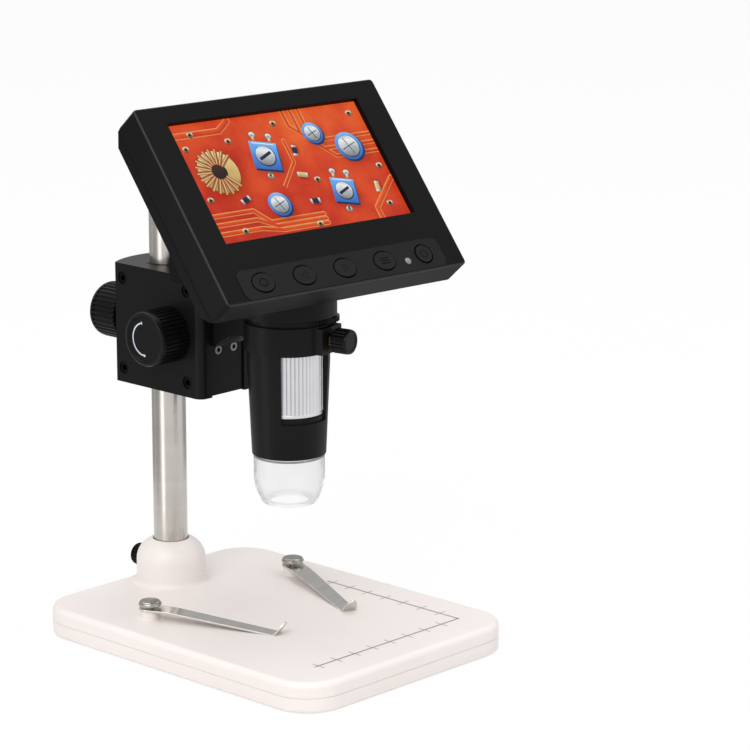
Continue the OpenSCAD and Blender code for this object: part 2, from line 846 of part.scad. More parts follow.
module clip_screws() {
    cap_at = clip_post_z + clip_t + 2 * clip_gap;
    color(nickel) for (s = [-1, 1]) translate([s * clip_span / 2, clip_y, cap_at]) {
        cylinder(d = clip_cap_d, h = clip_cap_h * 0.6);
        cylinder(d = clip_cap_d - 0.8, h = clip_cap_h);
        translate([0, 0, clip_post_z - clip_screw_depth - cap_at])
            cylinder(r = clip_screw_r, h = cap_at - clip_post_z + clip_screw_depth + 0.1);
    }
}

// Carriage

module carriage_outline() {
    difference() {
        union() {
            translate([-carriage_w / 2, carriage_front]) square([carriage_w, carriage_side - carriage_front]);
            intersection() {
                translate([-carriage_w / 2, carriage_side - through])
                    square([carriage_w, crown + 2 * through]);
                translate([0, carriage_back - crown_r]) circle(crown_r, $fn = 96);
            }
        }
        for (s = [0, 1]) mirror([s, 0])
            translate([carriage_w / 2 - carriage_round, carriage_front + carriage_round]) difference() {
                translate([0, -carriage_round - through]) square(carriage_round + through);
                circle(carriage_round);
            }
    }
}

module guide_outline() {
    plate_side = plate_w / 2 + guide_gap;
    slide_side = slide_w / 2 + guide_gap;
    translate([-plate_side, carriage_front - through]) square([2 * plate_side, lip_t + 2 * through]);
    translate([-slide_side, lip_back]) square([2 * slide_side, groove_back - lip_back]);
    translate([-gear_space, groove_back - through])
        square([2 * gear_space, gear_back - groove_back + through]);
}

module side_screw_places() {
    for (y = [side_screw_front, side_screw_back], s = [-1, 1])
        translate([-carriage_w / 2, y, carriage_mid + s * side_screw_pitch / 2]) along_x() children();
}

function side_screw_l(y) = y < lip_back + slide_t ? side_wall : carriage_w / 2 + side_screw_reach;

module carriage_shell(side) {
    difference() {
        intersection() {
            translate([0, 0, carriage_z]) linear_extrude(carriage_h) carriage_outline();
            translate([side > 0 ? 0 : -carriage_w, 0, carriage_z]) cube([carriage_w, 2 * base_d, carriage_h]);
        }
        translate([0, 0, carriage_z - through]) linear_extrude(carriage_h + 2 * through) guide_outline();
        at_column() translate([0, 0, carriage_z - through])
            cylinder(r = bush_seat, h = carriage_h + 2 * through);
        at_column() translate([0, 0, carriage_mid - bush_collar_h / 2 - run_gap])
            cylinder(r = bush_collar_r + run_gap, h = bush_collar_h + 2 * run_gap);
        translate([-carriage_w, shaft_y, shaft_z]) along_x()
            cylinder(r = shaft_r + run_gap, h = 2 * carriage_w);
        translate([0, column_y, shaft_z]) along_y() cylinder(r = rear_screw_r + run_gap, h = base_d);
        translate([0, clamp_nut_y, shaft_z]) along_y()
            cylinder(d = clamp_nut_w / cos(30), h = clamp_nut_t + 0.1, $fn = 6);
        side_screw_places() {
            translate([0, 0, -through])
                cylinder(d = side_screw_head_d + 2 * guide_gap, h = side_head_t + side_head_sink + through);
            cylinder(d = side_screw_d + 2 * run_gap, h = carriage_w / 2 + side_screw_reach + 0.5);
        }
    }
}

module carriage_left_shell() {
    color(black) carriage_shell(-1);
}

module carriage_right_shell() {
    color(black) carriage_shell(1);
}

module carriage_screws() {
    head_at = side_head_t + side_head_sink;
    color(soft_black) for (y = [side_screw_front, side_screw_back], s = [-1, 1])
        translate([-carriage_w / 2 + head_at, y, carriage_mid + s * side_screw_pitch / 2])
            along_x() mirror([0, 0, 1]) flat_screw(
                side_screw_head_d / 2, side_head_t, side_screw_d / 2, side_screw_l(y) - head_at);
}

module rear_clamp_nut() {
    color(brass) translate([0, clamp_nut_y + run_gap, shaft_z]) along_y() difference() {
        cylinder(d = (clamp_nut_w - 2 * run_gap) / cos(30), h = clamp_nut_t, $fn = 6);
        translate([0, 0, -through]) cylinder(r = rear_screw_r + run_gap, h = clamp_nut_t + 2 * through);
    }
}

module column_bush() {
    height = carriage_h + 2 * bush_stand;
    color(soft_black) at_column() difference() {
        union() {
            translate([0, 0, carriage_z - bush_stand]) cylinder(r = bush_r, h = height);
            translate([0, 0, carriage_mid - bush_collar_h / 2])
                cylinder(r = bush_collar_r, h = bush_collar_h);
        }
        translate([0, 0, carriage_z - bush_stand - through])
            cylinder(r = bush_bore, h = height + 2 * through);
        translate([-bush_slit / 2, -2 * bush_r, carriage_z - bush_stand - through])
            cube([bush_slit, 2 * bush_r, height + 2 * through]);
    }
}

module rear_lock_knob() {
    color(black) translate([0, rear_knob_y, shaft_z]) along_y() difference() {
        union() {
            knob(rear_knob_d, rear_knob_l, 36);
            translate([0, 0, -rear_hub_l]) cylinder(r = rear_hub_r, h = rear_hub_l + overlap);
        }
        translate([0, 0, -rear_hub_l - through])
            cylinder(r = rear_screw_r, h = rear_hub_l + rear_knob_l - 3);
    }
}

module rear_lock_screw() {
    color(steel) translate([0, rear_screw_tip, shaft_z]) along_y()
        cylinder(r = rear_screw_r, h = rear_knob_y - rear_screw_tip + rear_knob_l - 4);
}

// Focus slide with rack, turned by the pinion on the focus shaft

module focus_slide() {
    color(soft_black) difference() {
        translate([-slide_w / 2, slide_front, slide_z]) cube([slide_w, slide_t, slide_h]);
        for (s = [-1, 1]) translate([s * hex_screw_pitch / 2, slide_front - through, hex_z]) along_y()
            cylinder(r = hex_screw_r + run_gap, h = slide_t);
    }
}

// Rack profile: y away from the slide, z along the travel, with a gap centred on the shaft
module rack_profile() {
    teeth = floor((slide_h - 2 * rack_inset) / tooth_pitch / 2) - 1;
    half = tooth_pitch / 4 - backlash / 4;
    slope = tan(pressure_angle);
    ends = slide_h / 2 - rack_inset;
    flank = [for (i = [-teeth:teeth - 1], k = [0:3])
        let (z = (i + 0.5) * tooth_pitch, out = (k == 1 || k == 2), side = k < 2 ? -1 : 1,
            w = half + (out ? -addendum : dedendum) * slope)
        [out ? rack_tip_y : rack_root_y, z + side * w]];
    back = [[rack_root_y, ends], [slide_back, ends], [slide_back, -ends], [rack_root_y, -ends]];
    polygon(concat(back, flank));
}

module focus_rack() {
    color(brass) translate([0, 0, shaft_z]) rotate([90, 0, 90])
        linear_extrude(rack_w, center = true) rack_profile();
}

function involute(r) = sqrt(max(0, pow(r / gear_base_r, 2) - 1)) * 180 / PI - acos(min(1, gear_base_r / r));

function tooth_half(r) = 90 / pinion_teeth - backlash / 4 / pitch_r * 180 / PI + involute(pitch_r)
    - involute(max(r, gear_base_r));

module pinion_outline() {
    steps = 5;
    radii = concat([root_r], [for (k = [0:steps]) gear_base_r + (tip_r - gear_base_r) * k / steps]);
    tops = len(radii) - 1;
    polygon([for (i = [0:pinion_teeth - 1], side = [-1, 1], k = [0:tops])
        let (r = radii[side < 0 ? k : tops - k], a = i * 360 / pinion_teeth + side * tooth_half(r))
        [r * cos(a), r * sin(a)]]);
}

module focus_pinion() {
    color(brass) translate([0, shaft_y, shaft_z]) rotate([90, 0, 90]) difference() {
        linear_extrude(pinion_w, center = true) rotate(180) pinion_outline();
        cylinder(r = shaft_r - 0.8, h = 2 * pinion_w, center = true);
    }
}

module focus_shaft() {
    reach = carriage_w / 2 + knob_gap + focus_knob_l - 2;
    neck = pinion_w / 2;
    color(steel) translate([0, shaft_y, shaft_z]) along_x() {
        cylinder(r = shaft_r - 0.8, h = 2 * neck + 0.4, center = true);
        for (s = [0, 1]) mirror([0, 0, s]) translate([0, 0, neck]) cylinder(r = shaft_r, h = reach - neck);
    }
}

module focus_knob(side) {
    translate([side * (carriage_w / 2 + knob_gap), shaft_y, shaft_z]) rotate([0, side * 90, 0]) difference() {
        knob(focus_knob_d, focus_knob_l, 40);
        translate([0, 0, -through]) cylinder(r = shaft_r, h = focus_knob_l - 2 + through);
    }
}

module left_focus_knob() {
    color(black) focus_knob(-1);
}

module right_focus_knob() {
    color(black) focus_knob(1);
}

// Ring holder: plate on the slide, arm and ring with a clamp boss

module arm_solid() {
    low = hex_z + hex_screw_head_d / 2 + 2 * guide_gap + 0.1;
    arm_w = plate_w - 2 * step;
    start = tube_y + sqrt(pow((ring_r + ring_bore) / 2, 2) - pow(arm_w / 2, 2));
    difference() {
        translate([-arm_w / 2, start, low]) cube([arm_w, plate_front - start + 0.5, ring_top - step - low]);
        translate([-plate_w, tube_y + ring_r, hollow_top - arm_hollow_r]) along_x()
            cylinder(r = arm_hollow_r, h = 2 * plate_w);
    }
}

module ring_holder() {
    color(black) difference() {
        union() {
            translate([-plate_w / 2, plate_front, slide_z])
                cube([plate_w, slide_front - plate_front, slide_h]);
            arm_solid();
            at_tube() translate([0, 0, ring_z]) cylinder(r = ring_r, h = ring_h);
            at_tube() rotate([0, 0, boss_turn]) translate([-boss_w / 2, -boss_reach, ring_z + step])
                cube([boss_w, boss_reach, ring_h - 2 * step]);
        }
        at_tube() translate([0, 0, ring_z - through]) cylinder(r = ring_bore, h = ring_h + 2 * through);
        at_tube() rotate([0, 0, boss_turn]) translate([0, 0, ring_mid]) rotate([90, 0, 0])
            cylinder(r = clamp_r + run_gap, h = boss_reach + through);
        for (s = [-1, 1]) translate([s * hex_screw_pitch / 2, plate_front - through, hex_z]) along_y() {
            cylinder(r = hex_screw_r + run_gap, h = lip_t + 2 * through);
            cylinder(r = hex_screw_head_d / 2 + guide_gap, h = through + hex_head_t + hex_sink);
        }
    }
}

module ring_screws() {
    color(nickel) for (s = [-1, 1]) translate([s * hex_screw_pitch / 2, hex_seat, hex_z])
        rotate([90, 0, 0]) flat_screw(hex_screw_head_d / 2, hex_head_t, hex_screw_r, hex_screw_l);
}

module at_clamp(distance) {
    at_tube() rotate([0, 0, boss_turn]) translate([0, -distance, ring_mid]) rotate([90, 0, 0]) children();
}

module clamp_screw() {
    tip = tube_r + 2 * run_gap;
    color(brass) at_clamp(tip) cylinder(r = clamp_r, h = clamp_knob_at - tip + clamp_knob_l - 2);
}

module clamp_knob() {
    color(black) at_clamp(clamp_knob_at) difference() {
        knob(clamp_knob_d, clamp_knob_l, 20);
        translate([0, 0, -through]) cylinder(r = clamp_r, h = clamp_knob_l - 2 + through);
    }
}

// Microscope tube

module tube_profile() {
    outside = [[cap_bore, tube_z], [tube_tip_d / 2, tube_z], [tube_r, taper_z], [tube_r, housing_z]];
    inside = [[bore_r, housing_z], [bore_r, shelf_top], [shelf_r, shelf_top], [shelf_r, shelf_z],
        [cap_bore, shelf_z]];
    polygon(concat(outside, inside));
}

module sector(r, angle) {
    polygon(concat([[0, 0]], [for (i = [0:4]) let (a = angle * (i / 4 - 0.5)) r * [sin(a), -cos(a)]]));
}

module tube_shell() {
    color(black) at_head() difference() {
        rotate_extrude() tube_profile();
        rotate([0, 0, -window_turn]) translate([0, 0, window_z])
            linear_extrude(window_h) sector(2 * tube_r, window_angle);
        rotate([0, 0, -window_turn]) translate([0, 0, window_z - sill_drop])
            linear_extrude(sill_drop + overlap) difference() {
                sector(2 * tube_r, window_angle);
                circle(bore_r);
            }
        at_dimmer(dimmer_z - 0.2) cylinder(r = dimmer_r + free_gap, h = dimmer_t + 0.4);
        for (s = [-1, 1]) rotate([0, 0, 90 + s * 90]) translate([led_screw_circle, 0, shelf_z - through])
            cylinder(r = led_screw_r, h = shelf_t - 0.4 + through);
    }
}

module neck_collar() {
    color(black) at_head() difference() {
        translate([0, 0, neck_z]) tube_body(neck_r, tube_r + run_gap, housing_z - neck_z);
        neck_screw_places() translate([0, 0, -neck_screw_l])
            cylinder(r = neck_screw_r + run_gap, h = neck_screw_l + through);
    }
}

module neck_screw_places() {
    for (i = [0:2]) rotate([0, 0, i * 120]) translate([neck_screw_circle, 0, housing_z]) children();
}

module neck_screws() {
    color(steel) at_head() neck_screw_places() translate([0, 0, shell_wall])
        flat_screw(neck_screw_r * 1.6, 1.2, neck_screw_r, neck_screw_l + shell_wall - 0.5);
}

module at_dimmer(z) {
    rotate([0, 0, dimmer_turn]) translate([0, -dimmer_at, z]) children();
}

module dimmer_wheel() {
    color(soft_black) at_head() at_dimmer(dimmer_z) {
        linear_extrude(dimmer_t) ribbed(dimmer_r, 0.4, 40);
        cylinder(r = dimmer_pin_r, h = dimmer_pot_z - dimmer_z + dimmer_pot_h - 1);
    }
}

module dimmer_control() {
    color(steel) at_head() at_dimmer(dimmer_pot_z)
        tube_body(dimmer_pot_d / 2, dimmer_pin_r + run_gap, dimmer_pot_h);
}

module focus_wheel() {
    color(steel) at_head() translate([0, 0, wheel_z]) difference() {
        linear_extrude(wheel_h) ribbed(wheel_r, rib_depth, wheel_ribs);
        translate([0, 0, -through]) cylinder(r = wheel_bore, h = wheel_h + 2 * through);
    }
}

module lens_barrel() {
    color(soft_black) at_head() translate([0, 0, barrel_z]) difference() {
        cylinder(r = barrel_r, h = barrel_l);
        translate([0, 0, lens_z - barrel_z]) cylinder(r = barrel_bore, h = barrel_l);
        translate([0, 0, -through]) cylinder(r = barrel_lip, h = barrel_l);
    }
}

module objective_lens() {
    color([0.8, 0.9, 0.95, 0.5]) at_head() rotate_extrude() intersection() {
        translate([0, lens_z]) square([lens_r, lens_t]);
        translate([0, lens_z + lens_t - lens_ball]) circle(lens_ball, $fn = 240);
        translate([0, lens_z + lens_ball]) circle(lens_ball, $fn = 240);
    }
}

module sensor_holder() {
    color(soft_black) at_head() translate([0, 0, holder_z]) tube_body(holder_r, holder_bore, holder_h);
}

module sensor_board() {
    color(board_green) at_head() {
        translate([0, 0, sensor_z]) cylinder(r = holder_r - 0.6, h = board_t);
        translate([-sensor_size / 2, -sensor_size / 2, sensor_z - sensor_t])
            cube([sensor_size, sensor_size, sensor_t + 0.1]);
    }
}

module led_screw_places() {
    for (s = [-1, 1]) rotate([0, 0, 90 + s * 90]) translate([led_screw_circle, 0, lamp_board_z]) children();
}

module led_board() {
    color(board_green) at_head() difference() {
        translate([0, 0, lamp_board_z]) tube_body(lamp_board_r, baffle_r + run_gap, board_t);
        led_screw_places() translate([0, 0, -through])
            cylinder(r = led_screw_r + run_gap, h = board_t + 2 * through);
    }
}

module led_lamps() {
    color([1, 0.98, 0.9]) at_head() for (i = [0:lamp_count - 1]) rotate([0, 0, (i + 0.5) * 360 / lamp_count])
        translate([lamp_circle_d / 2, 0, lamp_board_z - lamp_l]) {
            translate([0, 0, lamp_r]) cylinder(r = lamp_r, h = lamp_l - lamp_r);
            translate([0, 0, lamp_r]) sphere(lamp_r);
        }
}

module led_screws() {
    color(steel) at_head() led_screw_places() mirror([0, 0, 1])
        flat_screw(led_screw_r * 1.35, 0.6, led_screw_r - run_gap, board_t + 0.8);
}

module lens_baffle() {
    color(soft_black) at_head() difference() {
        union() {
            translate([0, 0, shelf_z - baffle_l]) cylinder(r = baffle_r, h = baffle_l);
            translate([0, 0, shelf_z]) cylinder(r = baffle_flange_r, h = baffle_flange_t);
        }
        translate([0, 0, shelf_z - baffle_l - through])
            cylinder(r = baffle_r - baffle_wall, h = baffle_l + baffle_flange_t + 2 * through);
    }
}

// Clear cap: straight at the tube, drawn in towards its mouth, with a notched inner flange

module cap_solid(inset) {
    translate([0, cap_curve_z]) square([cap_r - inset, cap_top - cap_curve_z - inset]);
    intersection() {
        translate([0, cap_z + inset]) square([cap_r, cap_curve_l - inset + 0.01]);
        translate([cap_r - cap_curve_r, cap_curve_z]) circle(cap_curve_r - inset, $fn = 128);
    }
}

module clear_cap() {
    color([0.9, 0.92, 0.93, 0.4]) at_head() difference() {
        union() {
            rotate_extrude() difference() {
                cap_solid(0);
                cap_solid(cap_wall);
            }
            translate([0, 0, cap_top - cap_wall])
                tube_body(spigot_r, spigot_r - cap_wall, spigot_l + cap_wall);
        }
        translate([0, 0, cap_top - 2 * cap_wall]) cylinder(r = spigot_r - cap_wall, h = 2 * spigot_l);
        translate([0, 0, cap_z - through]) cylinder(d = cap_hole_d, h = cap_wall + 2 * through);
        for (i = [0:cap_notches - 1]) rotate([0, 0, i * 360 / cap_notches + 20])
            translate([0, -cap_notch_w / 2, cap_z - through])
                cube([cap_hole_d / 2 + cap_flange_t, cap_notch_w, cap_wall + 2 * through]);
    }
}

// Monitor

module button_places() {
    for (x = button_xs) translate([x, -button_drop, 0]) children();
}

module face_posts(r, z0, z1) {
    for (x = [-post_x, post_x], y = [post_low, post_high])
        translate([x, y, -z1]) cylinder(r = r, h = z1 - z0);
}

module monitor_bezel() {
    color(black) at_face() difference() {
        union() {
            difference() {
                translate([0, 0, -bezel_depth])
                    linear_extrude(bezel_depth) rounded_rect(face_w, face_h, face_corner);
                translate([0, 0, -bezel_depth - through]) linear_extrude(bezel_depth - front_t + through)
                    square([face_w - 2 * shell_wall, face_h - 2 * shell_wall], center = true);
            }
            translate([0, -button_drop, -overlap])
                linear_extrude(strip_t + overlap) rounded_rect(strip_w, strip_h, strip_corner);
            face_posts(post_r, front_t - overlap, main_board_z);
            for (x = button_post_x) translate([x, -button_drop, -button_board_z])
                cylinder(r = post_r, h = button_board_z - front_t + overlap);
        }
        translate([0, picture_rise, 0]) cube([picture_w, picture_h, 3 * front_t], center = true);
        button_places() translate([0, 0, -front_t - through]) linear_extrude(front_t + 2 * through)
            oval(button_w + 2 * free_gap, button_h + 2 * free_gap);
        translate([power_x, -button_drop, -front_t - through])
            cylinder(d = power_d + 2 * free_gap, h = front_t + 2 * through);
        translate([light_x, -button_drop - light_drop, -front_t - through])
            cylinder(r = light_r + run_gap, h = front_t + 2 * through);
        face_posts(post_screw_r + run_gap, front_t + 0.8, main_board_z + through);
    }
}

module oval_button(i) {
    at_face() translate([button_xs[i], -button_drop, 0]) {
        translate([0, 0, -button_back]) linear_extrude(button_back + button_stand) oval(button_w, button_h);
        translate([0, 0, -button_back]) linear_extrude(button_flange_t)
            oval(button_w + 2 * button_flange, button_h + 2 * button_flange);
        translate([0, 0, -button_back - button_stem_l]) cylinder(r = button_stem_r, h = button_stem_l + 0.1);
    }
}

module ok_button() {
    color(soft_black) oval_button(0);
}

module left_button() {
    color(soft_black) oval_button(1);
}

module right_button() {
    color(soft_black) oval_button(2);
}

module menu_button() {
    color(soft_black) oval_button(3);
}

module power_button() {
    color(soft_black) at_face() translate([power_x, -button_drop, 0]) {
        translate([0, 0, -button_back]) cylinder(d = power_d, h = button_back + button_stand);
        translate([0, 0, -button_back]) cylinder(d = power_d + 2 * button_flange, h = button_flange_t);
        translate([0, 0, -button_back - button_stem_l]) cylinder(r = button_stem_r, h = button_stem_l + 0.1);
    }
}

module status_light() {
    color(steel) at_face() translate([light_x, -button_drop - light_drop, -button_board_z])
        cylinder(r = light_r, h = button_board_z + strip_t);
}

module screen_panel() {
    color([0.35, 0.1, 0.08]) at_face() translate([-panel_w / 2, panel_low, -front_t - panel_t])
        cube([panel_w, panel_high - panel_low, panel_t]);
}

module main_board() {
    chips = [[-20, 8, 14, 14], [14, 14, 10, 10], [18, -8, 12, 8]];
    color(board_green) at_face() difference() {
        union() {
            translate([-main_board_w / 2, main_board_y - main_board_h / 2, -main_board_z - main_board_t])
                cube([main_board_w, main_board_h, main_board_t]);
            for (c = chips) translate([c[0], c[1], -main_board_z - main_board_t - 1.2])
                cube([c[2], c[3], 1.3]);
        }
        face_posts(post_screw_r + run_gap, main_board_z - through, main_board_z + main_board_t + through);
    }
}

module button_board() {
    color(board_green) at_face() {
        translate([-button_board_w / 2, -button_drop - button_board_h / 2, -button_board_z - button_board_t])
            cube([button_board_w, button_board_h, button_board_t]);
        for (x = concat(button_xs, [power_x]))
            translate([x - switch_w / 2, -button_drop - switch_w / 2, -button_board_z - 0.1]) cube(
                [switch_w, switch_w, button_board_z - switch_top + 0.1]);
    }
}

// Rear shell: chamfered back of the monitor, and the housing that stands on the neck

module across(w) {
    rotate([90, 0, 90]) linear_extrude(w, center = true) children();
}

module back_section(inset) {
    half = face_h / 2 - inset;
    flat = rear_plate_h / 2 - inset * 0.6;
    top = -bezel_depth + (inset > 0 ? through : 0);
    low = -monitor_depth + inset;
    polygon([[half, top], [half, -bezel_depth], [flat, low],
        [-flat, low], [-half, -bezel_depth], [-half, top]]);
}

function on_back(along, sink) = [back_plane_y - sink * cos(screen_tilt) + along * sin(screen_tilt),
    back_plane_z + sink * sin(screen_tilt) + along * cos(screen_tilt)];

module wedge_solid() {
    sunk = shell_wall / 2;
    translate([face_offset, 0, 0]) across(housing_w) polygon([on_back(wedge_low, 0),
        [housing_back, housing_z], on_back(wedge_high, 0),
        on_back(wedge_high, sunk), on_back(wedge_low, sunk)]);
}

module wedge_hollow() {
    floor_z = housing_z + shell_wall;
    back = housing_back - shell_wall;
    low = wedge_low + shell_wall * 2.2;
    high = wedge_high - shell_wall * 2.6;
    translate([face_offset, 0, 0]) across(housing_w - 2 * shell_wall) polygon([[on_back(low, 0).x, floor_z],
        [back, floor_z], [back, on_back(high, 0).y], on_back(high, shell_wall + through),
        on_back(low, shell_wall + through)]);
}

module cradle() {
    for (x = [-cradle_x, cradle_x]) translate([battery_x + x, 0, 0]) across(cradle_t) difference() {
        translate([battery_y - battery_d / 2, housing_z + shell_wall - overlap])
            square([battery_d + 1, battery_d / 2 + 1.4]);
        translate([battery_y, battery_z]) circle(battery_d / 2 + run_gap);
    }
}

module monitor_rear_shell() {
    color(black) difference() {
        union() {
            difference() {
                union() {
                    at_face() across(face_w) back_section(0);
                    at_head() wedge_solid();
                }
                at_face() across(face_w - 2 * shell_wall) back_section(shell_wall);
                at_head() wedge_hollow();
            }
            at_face() face_posts(rear_post_r, main_board_z + main_board_t, monitor_depth - 0.5);
            at_head() cradle();
            at_head() for (y = [-port_post_y, port_post_y]) translate(
                [face_offset + port_side - port_post_in, port_board_y + y, housing_z + shell_wall - overlap])
                    cylinder(r = post_r, h = port_board_z - housing_z - shell_wall + overlap);
        }
        at_face() face_posts(post_screw_r + guide_gap, main_board_z, monitor_depth + through);
        at_face() face_posts(post_screw_r * 1.9 + guide_gap, monitor_depth - 1.6, monitor_depth + through);
        at_head() translate([0, 0, housing_z - through])
            cylinder(r = bore_r - 1.4, h = shell_wall + 2 * through);
        at_head() neck_screw_places() translate([0, 0, -through])
            cylinder(r = neck_screw_r + guide_gap, h = shell_wall + 2 * through);
        at_head() translate([face_offset + port_side - 1, usb_y, port_board_z + port_board_t - 0.2])
            translate([0, -usb_w / 2 - 0.2, 0]) cube([shell_wall + 2, usb_w + 0.4, usb_h + 0.4]);
        at_head() translate([face_offset + port_side - 1, card_y - card_w / 2, port_board_z + port_board_t])
            cube([shell_wall + 2, card_w, card_h]);
        at_head() translate([face_offset - housing_w, pinhole_y, pinhole_z]) along_x()
            cylinder(r = pinhole_r, h = housing_w / 2 + shell_wall + 1);
    }
}

module housing_screws() {
    head_at = monitor_depth - 1.6;
    color(steel) at_face() for (x = [-post_x, post_x], y = [post_low, post_high]) translate([x, y, -head_at])
        mirror([0, 0, 1]) flat_screw(post_screw_r * 1.9, 1.2, post_screw_r, head_at - front_t - 1);
}

module battery() {
    color([0.2, 0.35, 0.6]) at_head() translate([battery_x - battery_l / 2, battery_y, battery_z]) along_x()
        cylinder(d = battery_d, h = battery_l);
}

module port_board() {
    color(board_green) at_head() translate([face_offset + port_side - port_board_l - 0.5,
        port_board_y - port_board_w / 2, port_board_z]) cube([port_board_l, port_board_w, port_board_t]);
}

module usb_socket() {
    top = port_board_z + port_board_t;
    color(steel) at_head() translate([face_offset + housing_w / 2 - usb_l, usb_y - usb_w / 2, top])
        difference() {
            cube([usb_l - 0.3, usb_w, usb_h]);
            difference() {
                translate([1, 0.4, 0.4]) cube([usb_l, usb_w - 0.8, usb_h - 0.8]);
                translate([0, 1.6, usb_h / 2 - 0.3]) cube([usb_l - 1, usb_w - 3.2, 0.6]);
            }
        }
}

module card_socket() {
    top = port_board_z + port_board_t;
    slot_l = 11;
    color(steel) at_head() translate([face_offset + port_side - slot_l - 0.2, card_y - card_w / 2 - 0.4, top])
        difference() {
            cube([slot_l, card_w + 0.8, card_h]);
            translate([1, 1, 0.5]) cube([slot_l, card_w - 1.2, card_h - 0.9]);
        }
}

base_top_shell();
base_bottom_cover();
sole_pads();
base_screws();
column();
column_plug();
clip_screws();
base_lock_knob();
base_lock_screw();
left_stage_clip();
right_stage_clip();
column_bush();
carriage_left_shell();
carriage_right_shell();
carriage_screws();
rear_clamp_nut();
rear_lock_knob();
rear_lock_screw();
focus_slide();
focus_rack();
ring_holder();
ring_screws();
focus_shaft();
focus_pinion();
left_focus_knob();
right_focus_knob();
clamp_knob();
clamp_screw();
tube_shell();
neck_collar();
neck_screws();
monitor_bezel();
monitor_rear_shell();
housing_screws();
screen_panel();
main_board();
button_board();
port_board();
status_light();
battery();
usb_socket();
card_socket();
dimmer_control();
sensor_holder();
sensor_board();
led_board();
led_lamps();
led_screws();
lens_baffle();
dimmer_wheel();
focus_wheel();
lens_barrel();
objective_lens();
clear_cap();
ok_button();
left_button();
right_button();
menu_button();
power_button();
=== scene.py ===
# %% [markdown]
# # A table microscope with its own screen
# The solids of this object come packed from its CAD source, in metres, with -Y to the front.
# This lesson dresses them: pieces whose edges and small forms show are modelled again with
# bmesh, the rest keep their solid, and every finish is built from shader nodes.

# %% Load the solids
import bmesh
import bpy
import json
import math
from mathutils import Matrix, Vector


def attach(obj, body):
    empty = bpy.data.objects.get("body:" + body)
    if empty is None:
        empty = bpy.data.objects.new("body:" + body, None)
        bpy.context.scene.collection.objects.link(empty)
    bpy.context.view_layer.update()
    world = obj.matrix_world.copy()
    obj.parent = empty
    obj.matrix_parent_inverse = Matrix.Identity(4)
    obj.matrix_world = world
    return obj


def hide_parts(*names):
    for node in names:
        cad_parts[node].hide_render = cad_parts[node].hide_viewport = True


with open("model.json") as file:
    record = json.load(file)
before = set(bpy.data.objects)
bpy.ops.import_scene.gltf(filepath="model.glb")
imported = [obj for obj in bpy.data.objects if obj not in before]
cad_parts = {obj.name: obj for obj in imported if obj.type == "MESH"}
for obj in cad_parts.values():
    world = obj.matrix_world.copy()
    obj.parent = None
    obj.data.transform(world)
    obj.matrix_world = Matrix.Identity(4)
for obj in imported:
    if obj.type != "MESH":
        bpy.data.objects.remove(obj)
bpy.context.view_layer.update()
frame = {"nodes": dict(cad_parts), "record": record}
nodes = frame["nodes"]
scene = bpy.context.scene
print("solids loaded:", len(nodes))

# %% [markdown]
# ## Camera
# The photograph was taken from the left front, a little above the stage. The place and the
# focal length were solved from the base's edges, the column and the corners of the screen, so
# the camera is written as plain numbers and looks straight ahead with no shift.

# %% Camera
CAMERA_PLACE = (-0.870752, -0.877415, 0.412620)
CAMERA_PITCH, CAMERA_TURN = 76.236, -46.670
camera_data = bpy.data.cameras.new("camera")
camera_data.lens = 154.14
camera_data.sensor_width = 36
camera_data.clip_end = 20
camera = bpy.data.objects.new("camera", camera_data)
camera.location = CAMERA_PLACE
camera.rotation_euler = (math.radians(CAMERA_PITCH), 0, math.radians(CAMERA_TURN))
scene.collection.objects.link(camera)
scene.camera = camera
print("camera at", tuple(round(v, 3) for v in camera.location))

# %% [markdown]
# ## Shared effects
# Moulded plastic is never one flat colour. It has a fine grain from the mould and a slow change
# of tone, and both are used by many finishes here, so they are one node group. A second group
# draws the fine lines that a brush or a lathe leaves on metal. Groups give out only values.

# %% Node group for moulded grain
def new_group(name, inputs, outputs):
    group = bpy.data.node_groups.new(name, "ShaderNodeTree")
    add_socket = group.interface.new_socket
    for label, value in inputs:
        socket = add_socket(label, in_out="INPUT", socket_type="NodeSocketFloat")
        socket.default_value = value
    for label in outputs:
        add_socket(label, in_out="OUTPUT", socket_type="NodeSocketFloat")
    return group, group.nodes.new("NodeGroupInput"), group.nodes.new("NodeGroupOutput")


def set_inputs(node, **values):
    for key, value in values.items():
        node.inputs[key.replace("_", " ")].default_value = value
    return node


def add_node(tree, kind, **values):
    return set_inputs(tree.nodes.new("ShaderNode" + kind), **values)


grain_group, given, out = new_group(
    "moulded_grain", [("Grain", 3000), ("Drift", 20)], ["Height", "Tone"])
coords = add_node(grain_group, "TexCoord")
for label, source, detail in (("Height", "Grain", 2.0), ("Tone", "Drift", 3.0)):
    noise = add_node(grain_group, "TexNoise", Detail=detail)
    grain_group.links.new(coords.outputs["Object"], noise.inputs["Vector"])
    grain_group.links.new(given.outputs[source], noise.inputs["Scale"])
    grain_group.links.new(noise.outputs["Fac"], out.inputs[label])
print("group", grain_group.name)

# %% Node group for brushed or turned lines
lines_group, given, out = new_group(
    "brushed_lines", [("Across X", 30), ("Across Y", 30), ("Across Z", 5000)], ["Line", "Tone"])
coords = add_node(lines_group, "TexCoord")
stretch = add_node(lines_group, "VectorMath")
stretch.operation = "MULTIPLY"
scales = add_node(lines_group, "CombineXYZ")
for axis in "XYZ":
    lines_group.links.new(given.outputs["Across " + axis], scales.inputs[axis])
lines_group.links.new(coords.outputs["Object"], stretch.inputs[0])
lines_group.links.new(scales.outputs["Vector"], stretch.inputs[1])
for label, scale in (("Line", 1.0), ("Tone", 0.13)):
    noise = add_node(lines_group, "TexNoise", Scale=scale, Detail=4)
    lines_group.links.new(stretch.outputs["Vector"], noise.inputs["Vector"])
    lines_group.links.new(noise.outputs["Fac"], out.inputs[label])
print("group", lines_group.name)

